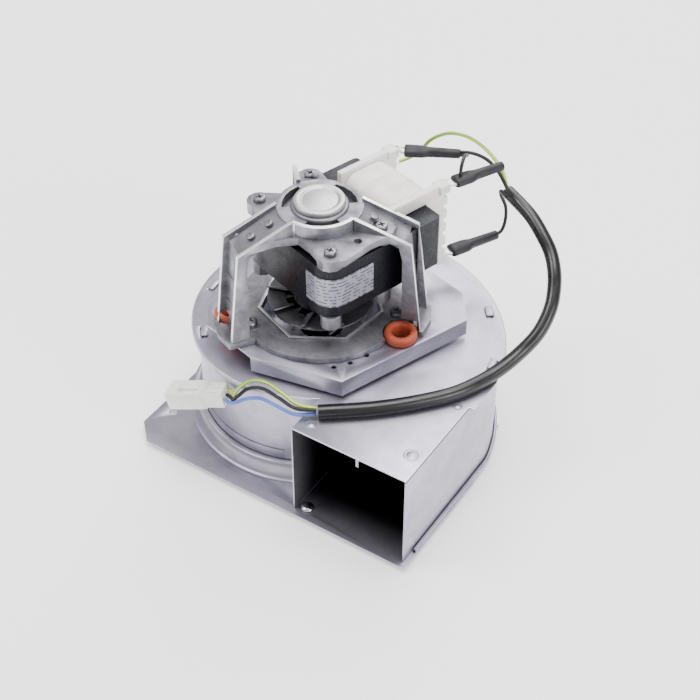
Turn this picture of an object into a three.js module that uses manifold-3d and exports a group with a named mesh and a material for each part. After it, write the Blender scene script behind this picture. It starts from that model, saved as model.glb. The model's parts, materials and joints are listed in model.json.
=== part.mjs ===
// Combustion fan of a gas boiler: a galvanised scroll housing on a flanged base sheet, a radial wheel in it,
// and above it a shaded-pole motor in a cast bracket that stands on three silicone mounts.
// Millimetres. Heights are measured from the top of the base sheet, and the motor axis is the z axis,
// until the last lines move the whole assembly so that it stands on z = 0, centred over the origin.
import * as THREE from "three";
import { mergeVertices } from "three/addons/utils/BufferGeometryUtils.js";
import Module from "manifold-3d";

const wasm = await Module();
wasm.setup();

// ---- Driving dimensions ----
const GAP = 0.3; // between two pieces that touch on the real fan
const SHEET = 0.8; // scroll sheet
const BASE_SHEET = 1; // base and support sheet

const TONGUE_DEG = 285; // where the scroll begins
const WALL_R = 49.7; // outside of the scroll wall at the tongue
const GROWTH = 0.141; // growth of that radius for each degree, going clockwise
const RIM = 3.5; // how far the cover stands proud of the wall
const COVER_TOP = 54;

const OUTLET = { left: 28.7, right: 88.7, front: -67.2, joins: -11.5 };
const BASE = { front: -70.6, left: -68.8, right: 92, lip: 2.6, chamfer: 10 };
const BEAD = { foot: 8, height: 8, from: 2, full: 96, to: 132 }; // pressed step, by scroll angle

const INLET_R = 31;
const WHEEL = { r: 43.5, eye: 33, top: 45, bottom: 15, blades: 20, sheet: 0.8 };
const SHAFT_R = 2.5;
const RUNNING = 0.09; // shaft to bearing, on the radius

const PLATE_TOP = 65; // support sheet under the motor
const FLANGE_FOOT = 56;
const MOUNT = { r: 44, degrees: [2, 112.5, 223], top: 70, outer: 8, neck: 5.6, hole: 4.4 };

const MOTOR_TURN = -17.5; // the coil's axis, degrees from x
const STACK = { half: 31, front: -20.5, back: 47.5, bottom: 87.3, top: 115, corner: 9.5, bore: 13.4 };
const WINDOW = { half: 21.5, front: 21.5, back: 33 };
const SCREW = { u: 26, v: 15, r: 1.9, hole: 2.3, head: 3.5 };
const COIL = { half: 17, front: 27.5, back: 55, bottom: 81.5, top: 120, wall: 3 };
const FLANGE = { front: 26.5, back: 61.5, bottom: 75, top: 122 };

const ARM_DEGREES = [19, 129, 239];
const COIL_ARM = ARM_DEGREES[1];
const HUB = { r: 20.2, rim: 2, top: 128, web: 126.3, under: 123.4, skirt: 117.4, boss: 12 };
const FOOT_SCREW_R = 37.5;
const EAR = { r: 6.2, top: 121.3, bottom: 115.6 };
const RIB = { inner: 7.4, outer: 9.4 };
const CORD_R = 3.4;
const LEAD_R = 0.9;

// ---- Finishes ----
const finish = (color, roughness, metalness) =>
  new THREE.MeshStandardMaterial({ color, roughness, metalness });
const FINISH = {
  galvanised: () => finish(0xc9c9d2, 0.4, 0.85),
  casting: () => finish(0x9a99a0, 0.5, 0.8),
  lamination: () => finish(0x24242c, 0.55, 0.4),
  steel: () => finish(0xb4b4b8, 0.3, 1),
  brass: () => finish(0xb8975a, 0.35, 1),
  copper: () => finish(0xb06a45, 0.35, 1),
  silicone: () => finish(0xdc6e50, 0.65, 0),
  tape: () => finish(0xf0ece4, 0.6, 0),
  nylon: () => finish(0xe6e4dc, 0.5, 0),
  boot: () => finish(0x3c3c42, 0.6, 0),
  sheath: () => finish(0x1c1c20, 0.35, 0),
  earthLead: () => finish(0xa8bc4a, 0.45, 0),
  blackLead: () => finish(0x26262a, 0.45, 0),
  blueLead: () => finish(0x4a60c0, 0.45, 0),
  label: () => finish(0xb9b9c2, 0.35, 0.5),
};

// ---- Solids ----
const radians = THREE.MathUtils.degToRad;
const point = (x, y) => new THREE.Vector2(x, y);
const point3 = (x, y, z) => new THREE.Vector3(x, y, z);
const polar = (r, degrees) => point(r * Math.cos(radians(degrees)), r * Math.sin(radians(degrees)));
const range = (from, to, steps) =>
  Array.from({ length: steps + 1 }, (_, i) => from + ((to - from) * i) / steps);
const arc = (x, y, r, from, to, steps) => range(from, to, steps).map((d) => polar(r, d).add(point(x, y)));
const circle = (x, y, r, sides) => arc(x, y, r, 0, 360 - 360 / sides, sides - 1);

// A closed geometry as a manifold solid, with its shared corners merged.
function solid(geometry) {
  const loose = geometry.index ? geometry.toNonIndexed() : geometry;
  const bare = new THREE.BufferGeometry().setAttribute("position", loose.getAttribute("position"));
  const merged = mergeVertices(bare, 1e-4);
  const corners = merged.index.array;
  const triangles = [];
  for (let i = 0; i < corners.length; i += 3) {
    const [a, b, c] = corners.slice(i, i + 3);
    if (a !== b && b !== c && c !== a) triangles.push(a, b, c);
  }
  return new wasm.Manifold(
    new wasm.Mesh({
      numProp: 3,
      vertProperties: merged.attributes.position.array,
      triVerts: new Uint32Array(triangles),
    }),
  );
}

// A manifold solid as a plain geometry.
function geometryOf(made) {
  const mesh = made.getMesh();
  const geometry = new THREE.BufferGeometry();
  geometry.setAttribute("position", new THREE.BufferAttribute(mesh.vertProperties, 3));
  geometry.setIndex(new THREE.BufferAttribute(mesh.triVerts, 1));
  geometry.computeVertexNormals();
  return geometry;
}

const join = (...solids) => solids.reduce((all, next) => all.add(next));
const cut = (body, ...tools) => tools.reduce((left, tool) => left.subtract(tool), body);

// An upright prism: the outline in plan, from one height to another.
function prism(outline, bottom, top, holes = []) {
  const shape = new THREE.Shape(outline);
  shape.holes = holes.map((hole) => new THREE.Path(hole));
  const geometry = new THREE.ExtrudeGeometry(shape, { depth: top - bottom, bevelEnabled: false });
  return solid(geometry.translate(0, 0, bottom));
}

// A slab that stands on edge: its profile is drawn in radius and height, its thickness runs sideways.
function slab(profile, from, to, degrees) {
  const shape = new THREE.Shape(profile);
  const geometry = new THREE.ExtrudeGeometry(shape, { depth: to - from, bevelEnabled: false });
  return solid(geometry.rotateX(Math.PI / 2).translate(0, to, 0).rotateZ(radians(degrees)));
}

const disc = (r, bottom, top, x = 0, y = 0, sides = 24) => prism(circle(x, y, r, sides), bottom, top);

// A turned piece about the z axis of a place: the profile is radius and height, and closes on itself.
function turned(profile, x = 0, y = 0, sides = 28) {
  const closed = [...profile, profile[0]].map(([r, z]) => point(r, z));
  const geometry = new THREE.LatheGeometry(closed, sides).rotateX(Math.PI / 2).translate(x, y, 0);
  return facingOut(geometry);
}

// A closed surface as a solid whose faces point outwards, whichever way it was drawn.
function facingOut(geometry) {
  const made = solid(geometry);
  if (made.volume() > 0) return made;
  const flipped = geometry.toNonIndexed();
  const p = flipped.getAttribute("position");
  for (let i = 0; i < p.count; i += 3) {
    const [a, b] = [i, i + 1].map((k) => new THREE.Vector3().fromBufferAttribute(p, k));
    p.setXYZ(i, b.x, b.y, b.z);
    p.setXYZ(i + 1, a.x, a.y, a.z);
  }
  return solid(flipped);
}

function block(x0, y0, z0, x1, y1, z1) {
  const geometry = new THREE.BoxGeometry(x1 - x0, y1 - y0, z1 - z0);
  return solid(geometry.translate((x0 + x1) / 2, (y0 + y1) / 2, (z0 + z1) / 2));
}

// A round bar along x that tapers from one radius to another.
function rodAlongX(r0, r1, x0, x1, sides, y = 0, z = 0) {
  const geometry = new THREE.CylinderGeometry(r1, r0, x1 - x0, sides).rotateZ(-Math.PI / 2);
  return solid(geometry.translate((x0 + x1) / 2, y, z));
}

const turn = (made, degrees) => made.rotate([0, 0, degrees]);
const move = (made, x, y, z = 0) => made.translate([x, y, z]);

// A strip that follows the scroll: at each station the section is drawn as offset from the wall and height.
function scrollStrip(sectionAt, from, to, steps) {
  const stations = range(from, to, steps);
  const rings = stations.map((phi) =>
    sectionAt(phi).map(([offset, z]) => {
      const p = polar(wallRadius(phi) + offset, TONGUE_DEG - phi);
      return point3(p.x, p.y, z);
    }),
  );
  const n = rings[0].length;
  const faces = [];
  for (let s = 0; s < steps; s++)
    for (let i = 0; i < n; i++) {
      const j = (i + 1) % n;
      faces.push(s * n + i, (s + 1) * n + i, (s + 1) * n + j);
      faces.push(s * n + i, (s + 1) * n + j, s * n + j);
    }
  const flat = sectionAt(from).map(([offset, z]) => point(offset, z));
  const last = steps * n;
  for (const [a, b, c] of THREE.ShapeUtils.triangulateShape(flat, [])) {
    faces.push(a, b, c);
    faces.push(last + a, last + c, last + b);
  }
  const geometry = new THREE.BufferGeometry();
  geometry.setFromPoints(rings.flat());
  geometry.setIndex(faces);
  return facingOut(geometry);
}

// A round bar along a smooth route.
function bar(route, r, sides, steps) {
  const places = route.map((place) => point3(...place));
  const curve = new THREE.CatmullRomCurve3(places, false, "centripetal");
  const section = new THREE.Shape(circle(0, 0, r, sides));
  return new THREE.ExtrudeGeometry(section, { steps, extrudePath: curve, bevelEnabled: false });
}

const assembly = new THREE.Group();
const cordGroup = new THREE.Group();

// Adds one named piece.
function add(name, made, material, group = assembly) {
  const geometry = made.isBufferGeometry ? made : geometryOf(made);
  const piece = new THREE.Mesh(geometry, material());
  piece.name = name;
  group.add(piece);
}

// ---- Scroll outline ----
const STATIONS = 30;
const END_PHI = 292; // where the scroll runs into the straight side of the outlet
const wallRadius = (phi) => WALL_R + GROWTH * phi;

function scrollLine(offset, from = 0, to = END_PHI) {
  return range(from, to, STATIONS).map((phi) => {
    const p = polar(wallRadius(phi) + offset, TONGUE_DEG - phi);
    return point(Math.min(p.x, OUTLET.right + Math.max(offset, -SHEET)), p.y);
  });
}

// The wall's outside line, from the outlet's left corner round the drum to its right corner.
function wallLine(offset) {
  const left = OUTLET.left - offset;
  const tongueR = WALL_R + offset;
  const meets = Math.acos(left / tongueR) * THREE.MathUtils.RAD2DEG;
  return [
    point(left, OUTLET.front),
    ...arc(0, 0, tongueR, 360 - meets, TONGUE_DEG + 2, 4),
    ...scrollLine(offset),
    point(OUTLET.right + offset, OUTLET.joins),
    point(OUTLET.right + offset, OUTLET.front),
  ];
}

// ---- Housing ----
// Self-clinching nuts under the corners of the base sheet.
const NUTS = [
  [33.5, -63.5],
  [-55, -60],
  [-57, 40],
  [78, 36],
];
const NUT = { r: 4.6, height: 2.5 };

function basePlate() {
  const outline = [
    point(BASE.left + BASE.chamfer, BASE.front),
    point(BASE.right, BASE.front),
    point(BASE.right, -8),
    ...scrollLine(BASE.lip, 0, END_PHI)
      .reverse()
      .filter((p) => p.y > 8 && p.x > BASE.left),
    point(BASE.left, 8),
    point(BASE.left, BASE.front + BASE.chamfer),
  ];
  const mouth = [
    [INLET_R + 7.5, -BASE_SHEET],
    [INLET_R + 7.5, 0],
    [INLET_R + 4, 1],
    [INLET_R + 1.8, 4],
    [INLET_R + 1, 10],
    [INLET_R, 10],
    [INLET_R + 0.8, 3.4],
    [INLET_R + 3.2, 0],
  ];
  const fade = (phi) => THREE.MathUtils.clamp((BEAD.to - phi) / (BEAD.to - BEAD.full), 0, 1);
  const step = (skin) => (phi) => {
    const width = THREE.MathUtils.lerp(BASE.lip, BEAD.foot, fade(phi)) - skin;
    const top = THREE.MathUtils.lerp(1.4, BEAD.height, fade(phi)) - skin;
    const floor = skin ? -BASE_SHEET - 0.5 : -BASE_SHEET / 2;
    return [
      [width, floor],
      [width, 0.1],
      [width * 0.66, top * 0.3],
      [width * 0.42, top * 0.78],
      [width * 0.2 + skin * 0.1, top],
      [GAP + skin, top],
      [GAP + skin, floor],
    ];
  };
  const holes = [circle(0, 0, INLET_R + 6, 30), circle(-60.5, -46.9, 2.2, 12)];
  const sheet = prism(outline, -BASE_SHEET, 0, holes);
  const bead = scrollStrip(step(0), BEAD.from, BEAD.to, 18);
  const hollow = scrollStrip(step(BASE_SHEET), BEAD.from + 1.5, BEAD.full, 14);
  const rivetHole = disc(2.4, -BASE_SHEET - 1, 1, ...NUTS[0], 16);
  return cut(join(sheet, turned(mouth, 0, 0, 30), bead), hollow, rivetHole);
}

function scrollWall() {
  const top = COVER_TOP - SHEET - GAP;
  const ribbon = prism([...wallLine(0), ...wallLine(-SHEET).reverse()], GAP, top);
  const hem = scrollStrip(
    () => [
      [-0.2, BEAD.height + 1.2],
      [0.6, BEAD.height + 1.2],
      [0.6, BEAD.height + 6.6],
      [-0.2, BEAD.height + 6.6],
    ],
    3,
    150,
    18,
  );
  return join(ribbon, hem, ...TAB.at.map(crimpTab));
}

// Crimp tabs of the wall that come up through slots in the cover and are folded over it.
const TAB = { at: [66, 100, 150, 205, 246, 272], length: 7, fold: 3, height: 1.2 };

function atWall(made, phi) {
  const degrees = TONGUE_DEG - phi;
  const p = polar(wallRadius(phi) - SHEET / 2, degrees);
  return move(turn(made, degrees), p.x, p.y);
}

function crimpTab(phi) {
  const half = TAB.length / 2;
  const upright = block(-SHEET / 2, -half, COVER_TOP - 3, SHEET / 2, half, COVER_TOP + TAB.height);
  const fold = block(-TAB.fold, -half, COVER_TOP + GAP, SHEET / 2, half, COVER_TOP + TAB.height);
  return atWall(join(upright, fold), phi);
}

function coverSlot(phi) {
  const [x, y] = [SHEET / 2 + GAP, TAB.length / 2 + GAP];
  return atWall(block(-x, -y, COVER_TOP - 3, x, y, COVER_TOP + 6), phi);
}

function coverPlate() {
  const under = COVER_TOP - SHEET;
  const edge = [
    point(OUTLET.left - 0.4, OUTLET.front),
    point(OUTLET.left - 0.4, -44.2),
    point(21, -49),
    ...scrollLine(RIM),
    point(OUTLET.right + 0.6, OUTLET.joins),
    point(OUTLET.right + 0.6, OUTLET.front),
  ];
  const top = prism(edge, under, COVER_TOP, [circle(0, 0, 11, 24)]);
  const turnedEdge = scrollStrip(
    () => [
      [RIM - SHEET, COVER_TOP - 2.6],
      [RIM, COVER_TOP - 2.6],
      [RIM, COVER_TOP - 0.1],
      [RIM - SHEET, COVER_TOP - 0.1],
    ],
    4,
    268,
    34,
  );
  const mouthTab = block(50, OUTLET.front + 1.2, 47, 57, OUTLET.front + 2, under + 0.1);
  return cut(join(top, turnedEdge, mouthTab), ...TAB.at.map(coverSlot));
}

function clinchNut([x, y]) {
  const profile = [
    [1.6, -BASE_SHEET - NUT.height],
    [NUT.r - 0.6, -BASE_SHEET - NUT.height],
    [NUT.r, -BASE_SHEET - NUT.height + 0.7],
    [NUT.r, -BASE_SHEET - 0.02],
    [1.6, -BASE_SHEET - 0.02],
  ];
  return turned(profile, x, y, 16);
}

function housing() {
  add("base_plate", basePlate(), FINISH.galvanised);
  add("scroll_wall", scrollWall(), FINISH.galvanised);
  add("cover_plate", coverPlate(), FINISH.galvanised);
  NUTS.forEach((place, i) => add(`clinch_nut_${i + 1}`, clinchNut(place), FINISH.steel));
  const rivet = [
    [0, -BASE_SHEET + 0.1],
    [2.1, -BASE_SHEET + 0.1],
    [2.1, GAP],
    [3.2, GAP],
    [2.6, 1.4],
    [0, 1.7],
  ];
  add("corner_rivet", turned(rivet, ...NUTS[0], 20), FINISH.steel);
}

// ---- Motor support and its mounts ----
const MOUNT_PLACES = MOUNT.degrees.map((d) => polar(MOUNT.r, d));
const FOOT_SCREWS = ARM_DEGREES.map((d) => polar(FOOT_SCREW_R, d));
const SUPPORT = [
  [37.3, -38.9],
  [63.9, 30],
  [52, 46],
  [14, 57],
  [-26, 59],
  [-44, 45],
  [-50, 10],
  [-46, -30],
  [-38, -41],
  [-21, -44.5],
  [-8, -47.8],
];

// The two front edges of the support sheet are folded down in one strip, mitred at the corner between them.
function foldedEdge(from, corner, to) {
  const inward = (a, b) => point(a.y - b.y, b.x - a.x).setLength(BASE_SHEET);
  const [first, second] = [inward(from, corner), inward(corner, to)];
  const mitre = first.clone().add(second);
  mitre.multiplyScalar((2 * BASE_SHEET ** 2) / mitre.lengthSq());
  const inner = [to.clone().add(second), corner.clone().add(mitre), from.clone().add(first)];
  return prism([from, corner, to, ...inner], FLANGE_FOOT, PLATE_TOP - BASE_SHEET / 2);
}

function supportPlate() {
  const outline = SUPPORT.map(([x, y]) => point(x, y));
  const well = circle(0, 0, 32, 24);
  const mountHoles = MOUNT_PLACES.map((p) => circle(p.x, p.y, MOUNT.neck + GAP, 18));
  const smallHoles = [
    [28.6, -32.5],
    [33.4, -26],
    [37, -17.5],
  ].map(([x, y]) => circle(x, y, 1.4, 8));
  const screwHoles = FOOT_SCREWS.map((p) => circle(p.x, p.y, 2.2, 10));
  const holes = [well, ...mountHoles, ...smallHoles, ...screwHoles];
  const sheet = prism(outline, PLATE_TOP - BASE_SHEET, PLATE_TOP, holes);
  return join(sheet, foldedEdge(outline.at(-1), outline[0], outline[1]));
}

function mounts() {
  const { outer, neck, hole, top } = MOUNT;
  const under = PLATE_TOP - BASE_SHEET - GAP;
  const bush = [
    [hole, COVER_TOP + GAP],
    [outer - 1.4, COVER_TOP + GAP],
    [outer - 1.4, under],
    [neck, under],
    [neck, PLATE_TOP + GAP],
    [outer, PLATE_TOP + GAP],
    [outer, top - 1.6],
    [outer - 1.5, top],
    [hole, top],
  ];
  const stud = [
    [0, COVER_TOP + GAP],
    [3.6, COVER_TOP + GAP],
    [3.6, 60],
    [2.8, 61],
    [0, 61],
  ];
  ["right", "back", "left"].forEach((side, i) => {
    const p = MOUNT_PLACES[i];
    add(`silicone_mount_${side}`, turned(bush, p.x, p.y, 16), FINISH.silicone);
    add(`mount_stud_${side}`, turned(stud, p.x, p.y, 12), FINISH.steel);
  });
}

// ---- Cast motor bracket ----
// Stack screws sit at the corners of a rectangle that is turned with the motor.
const inMotor = (u, v) => point(u, v).rotateAround(point(0, 0), radians(MOTOR_TURN));
const SCREW_PLACES = [
  [1, -1],
  [1, 1],
  [-1, 1],
  [-1, -1],
].map(([u, v]) => [u * SCREW.u, v * SCREW.v]);
const SCREWS = SCREW_PLACES.map(([u, v]) => inMotor(u, v));

function bracketArm(degrees) {
  const rib = [
    point(HUB.r - 2, HUB.top),
    point(45, 117.5),
    point(50.5, 68),
    point(41.5, 68),
    point(41, 109),
    point(38.9, HUB.skirt),
    point(HUB.r - 2, HUB.skirt),
  ];
  const web = [
    point(HUB.r - 2, HUB.web),
    point(42.5, 115.2),
    point(46.6, 68),
    point(44.2, 68),
    point(40.4, 113.4),
    point(HUB.r - 2, HUB.under),
  ];
  const farSide = join(
    slab(rib, RIB.inner, RIB.outer, degrees),
    slab(web, -2.5, RIB.inner + 0.1, degrees),
  );
  // The arm beside the coil keeps only its far rib.
  if (degrees === COIL_ARM) return farSide;
  return join(
    farSide,
    slab(rib, -RIB.outer, -RIB.inner, degrees),
    slab(web, -RIB.inner - 0.1, 0, degrees),
  );
}

function bracketFoot(degrees) {
  const outline = [point(33, -11), point(52, -10), point(54, 0), point(52, 10), point(33, 11)];
  return turn(prism(outline, 65.3, 68.3), degrees);
}

function stackEar(place) {
  const degrees = place.angle() * THREE.MathUtils.RAD2DEG;
  const r = place.length();
  const outline = [point(8, -13), point(r, -EAR.r), point(r, EAR.r), point(8, 13)];
  const tongue = prism(outline, 117.8, EAR.top);
  return join(turn(tongue, degrees), disc(EAR.r, EAR.bottom, EAR.top, place.x, place.y, 12));
}

function motorBracket() {
  const corners = 7;
  const ringTop = 68.3;
  const opening = arc(0, 0, 29.5, -137, 360 - 137 - 360 / corners, corners - 1);
  const lowerRing = prism(circle(0, 0, 41, 24), 65.3, ringTop, [opening]);
  const lipOuter = arc(0, 0, 31, -137, 360 - 137 - 360 / corners, corners - 1);
  const lip = prism(lipOuter, 65.3, ringTop + 1.2, [opening]);
  const hub = turned([
    [SHAFT_R + 1, HUB.under],
    [HUB.r - 0.5, HUB.under],
    [HUB.r - 0.5, HUB.web],
    [SHAFT_R + 1, HUB.web],
  ]);
  const skirt = turned([
    [HUB.r - HUB.rim, HUB.skirt],
    [HUB.r, HUB.skirt],
    [HUB.r, HUB.top],
    [HUB.r - HUB.rim, HUB.top],
  ]);
  // The rim stands above the web only between the two front arms.
  const flushPart = [point(0, 0), ...arc(0, 0, 30, -5, 263, 12)];
  const rim = cut(skirt, prism(flushPart, HUB.web, HUB.top + 1));
  const frontWeb = [
    point(0, 0),
    point(-7.5, -29.5),
    point(2.3, -21),
    point(10.5, -23.5),
    point(21.4, -29.3),
    point(28.6, -22.8),
    point(31.6, -6.1),
    point(35, 2.5),
  ];
  const apron = prism(frontWeb, 117.8, EAR.top);
  const boss = disc(HUB.boss - 2, 116.2, HUB.web + 0.5, 0, 0, 20);
  const floor = disc(HUB.r - 0.5, 117.8, EAR.top, 0, 0, 20);
  const slots = [-51, 69, 189].map((d) => {
    const outline = [...arc(0, 0, 17.7, d - 30, d + 30, 4), ...arc(0, 0, 13.4, d + 30, d - 30, 4)];
    return prism(outline, HUB.under - 1, HUB.web + 1);
  });
  const seat = disc(6.3, 110, HUB.web - 1.2, 0, 0, 20);
  const eye = disc(SHAFT_R + 0.6, 110, HUB.top + 2, 0, 0, 12);
  const screwHoles = SCREWS.map((p) => disc(SCREW.hole, 100, 125, p.x, p.y, 8));
  const headRoom = SCREWS.map((p) => disc(SCREW.head + 0.6, EAR.top, 130, p.x, p.y, 10));
  const footHoles = FOOT_SCREWS.map((p) => disc(2.2, 60, 74, p.x, p.y, 8));
  const extraHole = disc(1.9, 100, 125, 25.7, -7.7, 10);
  const mountRoom = MOUNT_PLACES.map((p) => disc(MOUNT.outer + 0.8, 60, 74, p.x, p.y, 14));
  const body = join(hub, rim, boss, floor, apron, lowerRing, lip, ...SCREWS.map(stackEar));
  const arms = ARM_DEGREES.flatMap((d) => [bracketArm(d), bracketFoot(d)]);
  const coilRoom = turn(block(-COIL.half - 5, COIL.front - 1, 60, COIL.half + 5, 80, 140), MOTOR_TURN);
  const legRoom = block(-200, -200, 60, 200, 200, 74);
  const stackRoom = turn(prism(stackOutline(0.7), STACK.bottom - 1, EAR.bottom), MOTOR_TURN);
  const holes = [...slots, seat, eye, ...screwHoles, ...footHoles, extraHole];
  const room = [...headRoom, ...mountRoom, stackRoom, cut(coilRoom, legRoom)];
  return cut(join(body, ...arms), ...holes, ...room);
}

function bracketPieces() {
  add("motor_bracket", motorBracket(), FINISH.casting);
  const cap = [
    [0, HUB.web + 1],
    [11.4, HUB.web + 1],
    [12, 128.4],
    [12, 129.6],
    [11.4, 130],
    [9, 130],
    [8.3, 129.2],
    [0, 129.2],
  ];
  add("bearing_cap", turned(cap, 0, 0, 24), FINISH.steel);
  const bush = (bottom, top) => [
    [SHAFT_R + RUNNING, bottom],
    [6, bottom],
    [6, top],
    [SHAFT_R + RUNNING, top],
  ];
  add("upper_bearing", turned(bush(117, 124.4), 0, 0, 20), FINISH.brass);
  add("lower_bearing", turned(bush(77.3, 83.8), 0, 0, 20), FINISH.brass);
  const screw = [
    [0, 62.2],
    [1.8, 62.2],
    [1.8, 68.6],
    [3.6, 68.6],
    [3.6, 70.4],
    [0, 71],
  ];
  FOOT_SCREWS.forEach((p, i) => add(`foot_screw_${i + 1}`, turned(screw, p.x, p.y, 12), FINISH.steel));
}

// ---- Motor ----
function stackOutline(grow) {
  const { half, front, back, corner } = STACK;
  return [
    ...arc(-half + corner, front + corner, corner + grow, 180, 270, 5),
    ...arc(half - corner, front + corner, corner + grow, 270, 360, 5),
    ...arc(half - 2, back - 2, 2 + grow, 0, 90, 2),
    ...arc(-half + 2, back - 2, 2 + grow, 90, 180, 2),
  ];
}

function stack() {
  const outline = stackOutline(0);
  const bore = circle(0, 0, STACK.bore, 36);
  const window = [
    point(-WINDOW.half, WINDOW.front),
    point(WINDOW.half, WINDOW.front),
    point(WINDOW.half, WINDOW.back),
    point(-WINDOW.half, WINDOW.back),
  ];
  const screwHoles = SCREW_PLACES.map(([u, v]) => circle(u, v, SCREW.hole, 10));
  return turn(prism(outline, STACK.bottom, STACK.top, [bore, window, ...screwHoles]), MOTOR_TURN);
}

// The bobbin is a tube round the back limb with a flange at each end that carries the terminals.
function bobbin() {
  const outer = { v0: WINDOW.back - 2, v1: STACK.back + 2, z0: STACK.bottom - 2, z1: STACK.top + 2 };
  const clear = 0.4;
  const tube = block(-COIL.half, outer.v0, outer.z0, COIL.half, outer.v1, outer.z1);
  const [front, back] = [WINDOW.back - clear, STACK.back + clear];
  const limb = block(-40, front, STACK.bottom - clear, 40, back, STACK.top + clear);
  const flangeAt = (u0, u1) => block(u0, FLANGE.front, FLANGE.bottom, u1, FLANGE.back, FLANGE.top);
  const right = flangeAt(COIL.half, COIL.half + COIL.wall);
  const left = flangeAt(-COIL.half - COIL.wall, -COIL.half);
  // The right flange has a comb of notches for the leads down its back edge.
  const end = FLANGE.back;
  const notches = [82, 90, 98, 106, 114].map((z) =>
    block(COIL.half - 1, end - 2.4, z, COIL.half + 4, end + 8, z + 3.2),
  );
  const lugs = TERMINALS.map(({ u, z }) => block(u - 3.2, end - 6, z - 2.4, u + 3.2, end, z + 2.4));
  const holes = TERMINALS.map(({ u, z }) => block(u - 2.8, end - 5, z - 0.8, u + 2.8, end + 1, z + 0.8));
  const body = cut(join(tube, right, left, ...lugs), limb, ...notches, ...holes);
  return turn(body, MOTOR_TURN);
}

const TERMINALS = [
  { name: "left", u: -18.5, z: 119.6, heading: 27 },
  { name: "right", u: 18.5, z: 119.6, heading: 62, jumper: true },
  { name: "lower", u: 18.5, z: 78, heading: 62 },
];

function coil() {
  const outline = [
    ...arc(COIL.back - 4, COIL.top - 4, 4, 90, 0, 3),
    ...arc(COIL.back - 4, COIL.bottom + 4, 4, 0, -90, 3),
    ...arc(COIL.front + 4, COIL.bottom + 4, 4, 270, 180, 3),
    ...arc(COIL.front + 4, COIL.top - 4, 4, 180, 90, 3),
  ];
  const hole = [
    point(WINDOW.back - 2.3, STACK.bottom - 2.3),
    point(STACK.back + 2.3, STACK.bottom - 2.3),
    point(STACK.back + 2.3, STACK.top + 2.3),
    point(WINDOW.back - 2.3, STACK.top + 2.3),
  ];
  const shape = new THREE.Shape(outline);
  shape.holes = [new THREE.Path(hole)];
  const length = 2 * (COIL.half - GAP);
  const geometry = new THREE.ExtrudeGeometry(shape, { depth: length, bevelEnabled: false });
  // The section is drawn across the coil, so it is stood up and turned to run along u.
  const [x, y, z] = [point3(1, 0, 0), point3(0, 1, 0), point3(0, 0, 1)];
  const upright = new THREE.Matrix4().makeBasis(y, z, x).setPosition(-length / 2, 0, 0);
  return turn(solid(geometry.applyMatrix4(upright)), MOTOR_TURN);
}

// Where a terminal blade leaves its lug, and the way it points in plan.
function terminalFrame({ u, z, heading }) {
  const start = inMotor(u, FLANGE.back);
  return { start, z, way: polar(1, heading) };
}

const BOOT = { clear: 4.5, length: 10, tail: 24 };

function terminals() {
  TERMINALS.forEach((terminal) => {
    const { name, u, heading } = terminal;
    const { start, z, way } = terminalFrame(terminal);
    const [low, high] = [z - 0.4, z + 0.4];
    const root = block(u - 2.4, FLANGE.back - 4.6, low, u + 2.4, FLANGE.back + 3, high);
    const blade = turn(block(1.7, -2.4, low, BOOT.clear + 6, 2.4, high), heading);
    const bent = join(turn(root, MOTOR_TURN), move(blade, start.x + way.x, start.y + way.y));
    add(`terminal_${name}`, bent, FINISH.steel);
    add(`terminal_boot_${name}`, boot(terminal), FINISH.boot);
  });
}

// An insulating boot: a flattened pocket over the blade that narrows to a round tail.
function boot(terminal) {
  const { start, z, way } = terminalFrame(terminal);
  const pocket = block(0, -4.2, -2.6, BOOT.length, 4.2, 2.6);
  const neck = rodAlongX(3.1, 2.5, BOOT.length - 0.2, BOOT.length + 4.2, 14);
  const tail = rodAlongX(2.5, 2.3, BOOT.length + 2, BOOT.tail + 2, 14);
  const slot = block(-1, -2.8, -0.8, BOOT.length - 2, 2.8, 0.8);
  const leadHoles = terminal.jumper ? [disc(1.3, 0.5, 4, 3.5, 0, 10)] : [];
  const made = turn(cut(join(pocket, neck, tail), slot, ...leadHoles), terminal.heading);
  return move(made, start.x + way.x * BOOT.clear, start.y + way.y * BOOT.clear, z);
}

function motor() {
  add("stator_stack", stack(), FINISH.lamination);
  add("bobbin", bobbin(), FINISH.nylon);
  add("coil", coil(), FINISH.tape);
  terminals();
  SCREWS.forEach((p, i) => {
    const screw = [
      [0, 78.5],
      [SCREW.r, 78.5],
      [SCREW.r, EAR.top + GAP],
      [SCREW.head, EAR.top + GAP],
      [SCREW.head, EAR.top + 2],
      [0, EAR.top + 2.6],
    ];
    add(`stack_screw_${i + 1}`, turned(screw, p.x, p.y, 14), FINISH.steel);
  });
  add("earth_tab", earthTab(), FINISH.steel);
  add("lower_end_shield", lowerShield(), FINISH.casting);
  add("shading_ring_left", shadingRing(-1), FINISH.copper);
  add("shading_ring_right", shadingRing(1), FINISH.copper);
  add("rating_label", ratingLabel(), FINISH.label);
}

// The earth tab stands on the back of the stack, beside the coil, and carries the earth lead.
function earthTab() {
  const foot = block(-29, STACK.back + GAP, 104, -20.8, STACK.back + GAP + 0.8, 111.8);
  const blade = block(-25, STACK.back + GAP + 0.1, 107.6, -20.8, 66.6, 108.4);
  return turn(join(foot, blade), MOTOR_TURN);
}

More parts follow.
